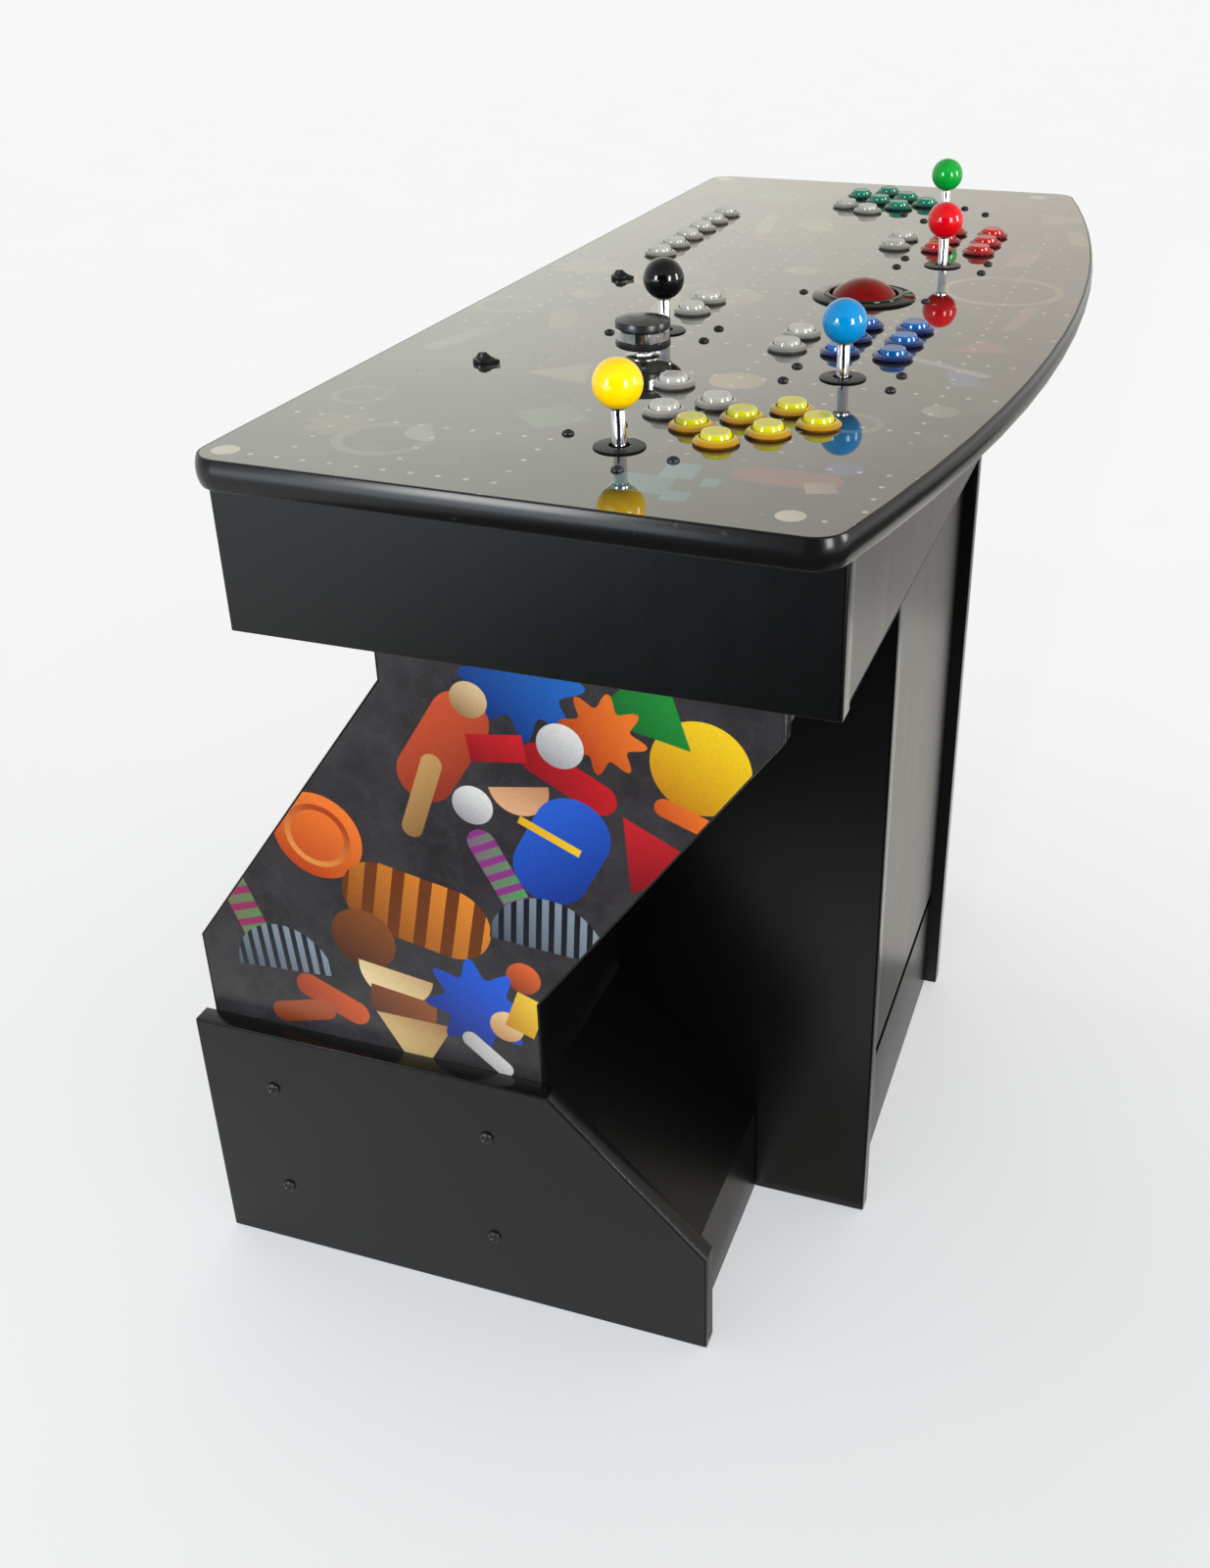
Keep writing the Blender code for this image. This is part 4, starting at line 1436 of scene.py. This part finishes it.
@dataclass
class Buttons:
    """Push buttons: a fixed rim and a cap that is pressed."""

    shop: Shop
    sides: int = 32
    first_admin: float = 0.1124
    admin_pitch: float = 0.0444
    admin_count: int = 6
    admin_along: float = 0.06975
    lone: tuple[float, float] = (-0.3236, -0.09725)
    rim_profile: tuple[tuple[float, float], ...] = (
        (12.05, 0.25),
        (12.05, 4.60),
        (12.20, 5.00),
        (12.60, 5.10),
        (12.95, 4.90),
        (13.20, 4.55),
        (14.20, 4.25),
        (15.30, 3.65),
        (16.25, 2.85),
        (16.80, 2.05),
        (16.65, 1.45),
        (15.90, 0.95),
        (15.30, 0.60),
        (15.10, 0.10),
        (12.40, 0.10),
    )
    cap_profile: tuple[tuple[float, float], ...] = (
        (11.20, -1.50),
        (11.40, -1.20),
        (11.45, 4.40),
        (11.20, 5.60),
        (10.62, 7.60),
        (10.25, 8.45),
        (9.85, 8.85),
        (9.40, 8.95),
        (8.90, 8.88),
        (8.50, 8.64),
        (5.00, 8.70),
        (1.20, 8.72),
    )

    def build(self) -> None:
        """Makes the coloured buttons and the clear ones."""
        rim = Bench.turned("rim_pattern", metres(self.rim_profile), sides=self.sides, ring=True)
        cap = Bench.turned("cap_pattern", metres(self.cap_profile), sides=self.sides)
        for colour in ("yellow", "blue", "red", "green"):
            for number in range(1, 7):
                node = f"plunger_{colour}_{number}"
                middle = self.shop.middle(node)
                place = (middle.x, middle.y, self.shop.deck)
                self.pair(rim, cap, f"{colour}_{number}", place, colour, node)
        for number, spot in enumerate(self.clear_places(), 1):
            self.pair(rim, cap, f"clear_{number}", (spot[0], spot[1], self.shop.deck), "clear", "")
        Bench.discard(rim)
        Bench.discard(cap)

    def pair(
        self,
        rim: bpy.types.Object,
        cap: bpy.types.Object,
        name: str,
        place: Point,
        colour: str,
        node: str,
    ) -> None:
        """Sets one button.

        Args:
            rim: The rim's pattern.
            cap: The cap's pattern.
            name: What the button is called.
            place: Its middle on the deck.
            colour: Its colour.
            node: Its plunger in the frame, or nothing for a button that stands still.
        """
        finish = self.shop.palette.buttons[colour]
        slot = f"button_{colour}" if node else "clear_overlay"
        self.shop.dress(Bench.copy(rim, f"button_rim_{name}", place), finish, slot)
        piece = Bench.copy(cap, f"button_cap_{name}", place)
        if node:
            self.shop.dress(piece, finish, slot, node, [node])
        else:
            self.shop.dress(piece, finish, slot)

    def clear_places(self) -> list[tuple[float, float]]:
        """Middles of the clear buttons."""
        spots = []
        for place in PLACES:
            for right, ahead in place.clears:
                point = place.point(right, ahead)
                spots.append((point.x, point.y))
        spots.append(self.lone)
        for number in range(self.admin_count):
            spots.append((self.first_admin + number * self.admin_pitch, self.admin_along))
        return spots


@dataclass
class RollBall:
    """Trackball in its polished stepped ring."""

    shop: Shop
    fasteners: Fasteners
    bolt_reach: float = 0.058
    sides: int = 64
    rings: int = 36
    ring_profile: tuple[tuple[float, float], ...] = (
        (32.30, 0.40),
        (32.30, 3.60),
        (32.70, 4.20),
        (33.60, 4.40),
        (36.80, 4.30),
        (37.40, 3.90),
        (37.60, 3.10),
        (38.20, 2.70),
        (46.40, 2.40),
        (47.60, 1.90),
        (48.20, 1.10),
        (48.00, 0.40),
        (47.40, 0.10),
        (32.80, 0.10),
    )

    def build(self) -> None:
        """Makes the ball, the ring and its bolts."""
        low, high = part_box("trackball")
        middle = (low + high) / 2.0
        radius = (high.x - low.x) / 2.0
        self.ball(middle, radius)
        seat = (middle.x, middle.y, self.shop.deck)
        ring = Bench.turned("trackball_bezel", metres(self.ring_profile), seat, self.sides, True)
        self.shop.dress(ring, self.shop.palette.bezel, "ring_plastic", stands_for=["trackball_ring"])
        screw = self.fasteners.head("screw_pattern", 0.92)
        for number in range(4):
            swing = 0.25 * TURN * number
            across = middle.x + self.bolt_reach * math.cos(swing)
            along = middle.y + self.bolt_reach * math.sin(swing)
            self.fasteners.on_deck(screw, f"trackball_screw_{number + 1}", across, along)
        Bench.discard(screw)

    def ball(self, middle: Vector, radius: float) -> None:
        """Makes the ball, closed by small flats at its poles.

        Args:
            middle: Its middle.
            radius: Its radius.
        """
        profile = []
        for step in range(self.rings):
            swing = POLE + (math.pi - 2.0 * POLE) * step / (self.rings - 1)
            profile.append((radius * math.sin(swing), -radius * math.cos(swing)))
        ball = Bench.turned("trackball_ball", profile, middle, self.sides)
        self.shop.dress(ball, self.shop.palette.trackball, "trackball", "trackball", ["trackball"])


@dataclass
class Spinner:
    """Turned knob in two black parts with a bright band between, over a nut and washer."""

    shop: Shop
    lift: float = 0.0085
    lower: float = 0.0052
    band: float = 0.0097
    dome: float = 0.0030
    shaft: float = 0.0032
    sides: int = 64
    dome_steps: int = 8

    def build(self) -> None:
        """Makes the knob's parts and the nut under it."""
        low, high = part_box("spinner_knob")
        deck = self.shop.deck
        seat = Vector((*self.shop.middle("spinner_knob").xy, deck))
        palette = self.shop.palette
        body = "spinner"
        base = self.lift
        radius = min(high.x - low.x, high.y - low.y) / 2.0
        bottom = Bench.turned(
            "spinner_lower",
            (
                (radius - 0.0012, base),
                (radius - 0.0002, base + 0.0008),
                (radius, base + 0.0014),
                (radius, base + self.lower - 0.0006),
                (radius - 0.0005, base + self.lower),
            ),
            seat,
            self.sides,
        )
        self.shop.dress(bottom, palette.anodised, "knob_plastic", body, ["spinner_knob"])
        bright = base + self.lower + self.band
        collar = Bench.turned(
            "spinner_band",
            (
                (radius - 0.0018, base + self.lower - 0.0002),
                (radius - 0.0016, base + self.lower + 0.0005),
                (radius - 0.0010, base + self.lower + 0.0011),
                (radius - 0.0010, bright - 0.0011),
                (radius - 0.0016, bright - 0.0005),
                (radius - 0.0018, bright + 0.0002),
            ),
            seat,
            self.sides,
        )
        self.shop.dress(collar, palette.chrome, "spinner_metal", body)
        top = high.z - deck
        edge = top - self.dome
        profile = [
            (radius - 0.0006, bright),
            (radius, bright + 0.0006),
            (radius, edge - 0.0008),
            (radius - 0.0004, edge - 0.0001),
        ]
        for step in range(1, self.dome_steps + 1):
            share = 1.0 - step / (self.dome_steps + 0.4)
            profile.append(((radius - 0.0012) * share, edge + self.dome * (1.0 - share**2)))
        cap = Bench.turned("spinner_upper", profile, seat, self.sides)
        self.shop.dress(cap, palette.anodised, "knob_plastic", body)
        rod = Bench.turned(
            "spinner_shaft",
            ((self.shaft * 0.8, -0.012), (self.shaft, -0.011), (self.shaft, base + 0.001)),
            seat,
            24,
        )
        self.shop.dress(rod, palette.chrome, "spinner_metal", body)
        self.nut(seat)

    def nut(self, seat: Vector) -> None:
        """Makes the washer and the thin nut that hold the spinner in the deck."""
        washer = Bench.turned(
            "spinner_washer",
            ((0.0042, 0.0001), (0.0042, 0.0013), (0.0138, 0.0013), (0.0145, 0.0009), (0.0145, 0.0001)),
            seat,
            40,
            True,
        )
        self.shop.dress(washer, self.shop.palette.washer, "spinner_metal")
        nut = Bench.turned(
            "spinner_nut",
            ((0.0040, 0.0014), (0.0040, 0.0032), (0.0062, 0.0034), (0.0070, 0.0028), (0.0070, 0.0014)),
            seat,
            6,
            True,
        )
        self.shop.dress(nut, self.shop.palette.washer, "spinner_metal")


@dataclass
class PointerKnobs:
    """Low black knobs with a pointed skirt."""

    shop: Shop
    sides: int = 32
    steps: tuple[tuple[float, float, float], ...] = (
        (0.34, 1.0, 1.0),
        (0.08, 0.93, 0.95),
        (0.02, 0.52, 0.80),
        (0.46, 0.72, 0.66),
        (0.09, 0.70, 0.80),
    )

    def build(self) -> None:
        """Makes both knobs."""
        for side in ("left", "right"):
            node = f"pointer_knob_{side}"
            piece = self.knob(f"pointer_{side}_grip", *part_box(node))
            self.shop.dress(piece, self.shop.palette.knob, "knob_plastic", f"pointer_{side}", [node])

    def knob(self, name: str, low: Vector, high: Vector) -> bpy.types.Object:
        """Shapes one knob inside its node's box.

        Args:
            name: The piece's name.
            low: The box's lowest corner.
            high: The box's highest corner.

        Returns:
            The knob.
        """
        radius = (high.x - low.x) / 2.0
        foot = self.shop.deck + 0.0003
        centre = Vector(((low.x + high.x) / 2.0, high.y - radius, foot))
        reach = centre.y - low.y
        rise = high.z - foot
        Bench.clear()
        bpy.ops.mesh.primitive_circle_add(
            vertices=self.sides,
            radius=radius,
            fill_type="NGON",
            location=centre,
        )
        piece = bpy.context.active_object
        piece.name = piece.data.name = name
        bpy.ops.object.mode_set(mode="EDIT")
        self.draw_tip(piece, radius, reach)
        Bench.pick(piece, Pick.FACES, lambda face: True)
        for up, wide, deep in self.steps:
            bpy.ops.mesh.extrude_region_move(TRANSFORM_OT_translate={"value": (0.0, 0.0, up * rise)})
            bpy.ops.transform.resize(value=(wide, deep, 1.0), center_override=centre)
        crest = rise * 0.99
        for share in (0.25, 0.5, 0.75):
            front = -reach * share * 0.72
            Bench.pick(piece, Pick.CORNERS, lambda corner: corner.co.z > crest * 0.6 and corner.co.y < front)
            bpy.ops.transform.translate(value=(0.0, 0.0, -0.13 * rise))
        bpy.ops.mesh.select_all(action="SELECT")
        bpy.ops.mesh.normals_make_consistent(inside=False)
        Bench.leave()
        Bench.modify(piece, "BEVEL", width=0.0003, segments=2, limit_method="ANGLE", angle_limit=0.7)
        return Bench.finish(piece)

    def draw_tip(self, piece: bpy.types.Object, radius: float, reach: float) -> None:
        """Draws the front of a disc out to a point along its tangents.

        Args:
            piece: The disc, open in edit mode.
            radius: Its radius.
            reach: How far the point is from the middle.
        """
        tangent = math.acos(radius / reach)
        for step in range(self.sides // 2):
            swing = TURN * step / self.sides
            if swing >= tangent:
                break
            aside = radius * math.sin(swing)
            line = -reach + (reach - radius * math.cos(tangent)) * aside / (radius * math.sin(tangent))
            Bench.pick(
                piece,
                Pick.CORNERS,
                lambda corner: corner.co.y < 0.0 and abs(abs(corner.co.x) - aside) < 0.2 * MM,
            )
            bpy.ops.transform.translate(value=(0.0, line + radius * math.cos(swing), 0.0))


# ---------------------------------------------------------------- studio


WARM = (1.0, 0.97, 0.89, 1.0)
COOL = (0.80, 0.96, 1.08, 1.0)


@dataclass(frozen=True)
class Cloth:
    """A dark or softly glowing cloth that only reflections see."""

    low: Point
    high: Point
    glow: float = 0.0
    colour: Colour = WARM


@dataclass(frozen=True)
class SoftBox:
    """An upright lamp panel: its direction from the cabinet and its brightness."""

    across: float
    along: float
    radiance: float


@dataclass
class Studio:
    """Camera, pale floor and soft light."""

    shop: Shop
    eye: Point = (-1.43635, -0.49123, 1.2705)
    yaw: float = 17.40
    pitch: float = -28.31
    roll: float = 0.27
    lens: float = 35.94
    shift: tuple[float, float] = (-0.0787, -0.0442)
    floor: float = 40.0
    cloths: tuple[Cloth, ...] = (
        Cloth((-1.81, -1.30, 0.0), (-1.80, 0.35, 1.9)),
        Cloth((-3.60, -3.60, 0.004), (-0.85, 0.85, 0.006)),
        Cloth((-0.84, -3.60, 0.004), (0.00, -1.30, 0.006)),
        Cloth((-0.84, -1.29, 0.004), (-0.46, -0.40, 0.006), 0.30),
        Cloth((-0.45, -1.29, 0.004), (0.22, -0.28, 0.006), 0.30),
        Cloth((0.23, -1.29, 0.004), (1.30, -0.28, 0.006), 1.08),
        Cloth((1.31, -1.29, 0.004), (5.00, -0.28, 0.006), 0.62),
        Cloth((-0.43, -0.27, 0.004), (-0.22, -0.15, 0.006), 0.35),
        Cloth((0.01, -3.60, 0.004), (2.40, -1.30, 0.006), 0.02),
        Cloth((2.41, -3.60, 0.004), (5.00, -1.30, 0.006), 0.45),
        Cloth((-1.79, 0.12, 0.60), (-1.78, 1.50, 1.00), 4.0, COOL),
    )
    lights: tuple[SoftBox, ...] = (
        SoftBox(-0.924, 0.384, 20.0),
        SoftBox(-0.609, -0.792, 20.0),
        SoftBox(0.130, -0.990, 16.0),
    )
    light_away: float = 3.0
    light_size: tuple[float, float] = (0.70, 1.25)
    light_height: float = 1.45
    light_aim: Point = (0.0, 0.0, 0.95)

    def build(self) -> None:
        """Sets everything up."""
        self.camera()
        self.world()
        self.ground()
        self.flags()
        lit = bpy.data.collections.new("lit_pieces")
        for piece in self.shop.pieces:
            lit.objects.link(piece)
        for side in ("left", "right"):
            lit.objects.link(self.shop.nodes[f"leg_{side}_board"])
        for number, light in enumerate(self.lights, 1):
            self.panel(number, lit, light)
        bpy.context.scene.view_settings.view_transform = "Standard"

    def camera(self) -> None:
        """Puts the camera at the viewing point."""
        data = bpy.data.cameras.new("view")
        data.sensor_width = 36.0
        data.lens = self.lens
        data.shift_x, data.shift_y = self.shift
        data.clip_start = 0.01
        view = bpy.data.objects.new("view", data)
        yaw, pitch, roll = (math.radians(part) for part in (self.yaw, self.pitch, self.roll))
        ahead = Vector((math.cos(yaw) * math.cos(pitch), math.sin(yaw) * math.cos(pitch), math.sin(pitch)))
        right = ahead.cross(Vector((0.0, 0.0, 1.0))).normalized()
        above = right.cross(ahead)
        tilted = right * math.cos(roll) + above * math.sin(roll)
        upright = above * math.cos(roll) - right * math.sin(roll)
        turn = Matrix((tilted, upright, -ahead)).transposed()
        view.matrix_world = Matrix.Translation(self.eye) @ turn.to_4x4()
        bpy.context.collection.objects.link(view)
        bpy.context.scene.camera = view

    def world(self) -> None:
        """Lights the room softly, brighter at the far end, with a white backdrop."""
        world = bpy.data.worlds.new("room")
        world.use_nodes = True
        graph = Graph(world.node_tree)
        across, along, rise = graph.axes(graph.node("ShaderNodeTexCoord", output="Generated"))
        level = across.ease(-0.6, 0.5, 0.55, 1.0) * rise.ease(0.40, 0.95, 1.0, 0.60)
        warm = graph.mix((0.74, 0.69, 0.61, 1.0), (1.03, 1.04, 0.95, 1.0), along.ease(0.05, 0.50))
        colour = graph.mix((0.92, 1.00, 1.08, 1.0), warm, across.ease(-0.5, 0.1))
        soft = graph.node("ShaderNodeBackground", {}, {"Color": colour, "Strength": level})
        white = graph.node("ShaderNodeBackground", {}, {"Color": grey(1.0), "Strength": 1.0})
        seen = graph.node("ShaderNodeLightPath", output="Is Camera Ray")
        both = graph.node("ShaderNodeMixShader", {}, {0: seen, 1: soft, 2: white})
        graph.node("ShaderNodeOutputWorld", {}, {"Surface": both})
        bpy.context.scene.world = world

    def ground(self) -> None:
        """Lays the pale floor."""
        Bench.clear()
        bpy.ops.mesh.primitive_plane_add(size=self.floor, location=(0.0, 0.0, -0.0005))
        floor = bpy.context.active_object
        floor.name = "floor"
        sockets = {
            "Roughness": 0.9,
            "Specular IOR Level": 0.1,
            "Emission Color": (0.95, 0.97, 1.0, 1.0),
            "Emission Strength": 0.50,
        }
        floor.data.materials.append(self.matt("pale_floor", 3.0, 3.0, (grey(0.80), grey(0.84)), sockets))
        floor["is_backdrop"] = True

    @staticmethod
    def matt(
        name: str,
        scale: float,
        detail: float,
        shades: tuple[Colour, Colour],
        sockets: dict[str, object],
    ) -> bpy.types.Material:
        """Makes a clouded material for the stage.

        Args:
            name: The material's name.
            scale: Clouds per metre.
            detail: How many finer layers they have.
            shades: The two colours that are mixed.
            sockets: The shader's other sockets.

        Returns:
            The material.
        """
        made = bpy.data.materials.new(name)
        made.use_nodes = True
        graph = Graph(made.node_tree)
        cloud = graph.noise(graph.place(), scale, detail)
        inputs = {"Base Color": graph.mix(*shades, cloud), **sockets}
        shader = graph.node("ShaderNodeBsdfPrincipled", {}, inputs)
        graph.node("ShaderNodeOutputMaterial", {}, {"Surface": shader})
        return made

    def flags(self) -> None:
        """Lays the cloths that grade the reflections."""
        for number, spec in enumerate(self.cloths, 1):
            low, high = Vector(spec.low), Vector(spec.high)
            sockets = {"Roughness": 1.0, "Emission Color": spec.colour, "Emission Strength": spec.glow}
            made = self.matt(f"cloth_{number}", 400.0, 2.0, (grey(0.004), grey(0.008)), sockets)
            span = high - low
            Bench.clear()
            bpy.ops.mesh.primitive_cube_add(size=1.0, location=(low + high) / 2.0, scale=span)
            cloth = bpy.context.active_object
            cloth.name = f"cloth_{number}"
            Bench.take(cloth)
            bpy.ops.object.transform_apply(location=True, rotation=True, scale=True)
            cloth.data.materials.append(made)
            cloth.visible_camera = False
            cloth.visible_diffuse = False
            cloth.visible_shadow = False
            cloth.visible_transmission = False
            cloth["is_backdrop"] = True

    def panel(self, number: int, lit: bpy.types.Collection, light: SoftBox) -> None:
        """Hangs one upright soft box that puts highlights on the controls and mouldings.

        Args:
            number: Its number.
            lit: The pieces that it shines on.
            light: Its direction and brightness.
        """
        data = bpy.data.lights.new(f"soft_box_{number}", "AREA")
        data.shape = "RECTANGLE"
        data.size, data.size_y = self.light_size
        data.energy = light.radiance * math.pi * data.size * data.size_y
        box = bpy.data.objects.new(f"soft_box_{number}", data)
        spot = Vector((light.across * self.light_away, light.along * self.light_away, self.light_height))
        aim = (Vector(self.light_aim) - spot).to_track_quat("-Z", "Y")
        box.matrix_world = Matrix.Translation(spot) @ aim.to_matrix().to_4x4()
        box.light_linking.receiver_collection = lit
        bpy.context.collection.objects.link(box)


# ---------------------------------------------------------------- assembly


def main(frame: dict[str, object], before: Box) -> None:
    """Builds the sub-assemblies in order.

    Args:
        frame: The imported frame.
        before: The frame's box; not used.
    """
    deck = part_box("acrylic_overlay")[1].z
    shop = Shop(frame["nodes"], Palette(deck), deck)
    fasteners = Fasteners(shop)
    Carcass(shop).build()
    Deck(shop).build()
    Joysticks(shop, fasteners).build()
    Buttons(shop).build()
    RollBall(shop, fasteners).build()
    Spinner(shop).build()
    PointerKnobs(shop).build()
    fasteners.on_cheek(metres(BOLT_PLACES), BOLT_SCALE)
    Studio(shop).build()
    log.info("%d new pieces", len(shop.pieces))


if __name__ == "__main__":
    logging.basicConfig(level=logging.INFO, format="%(name)s %(message)s")
    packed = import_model()
    main(packed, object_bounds())
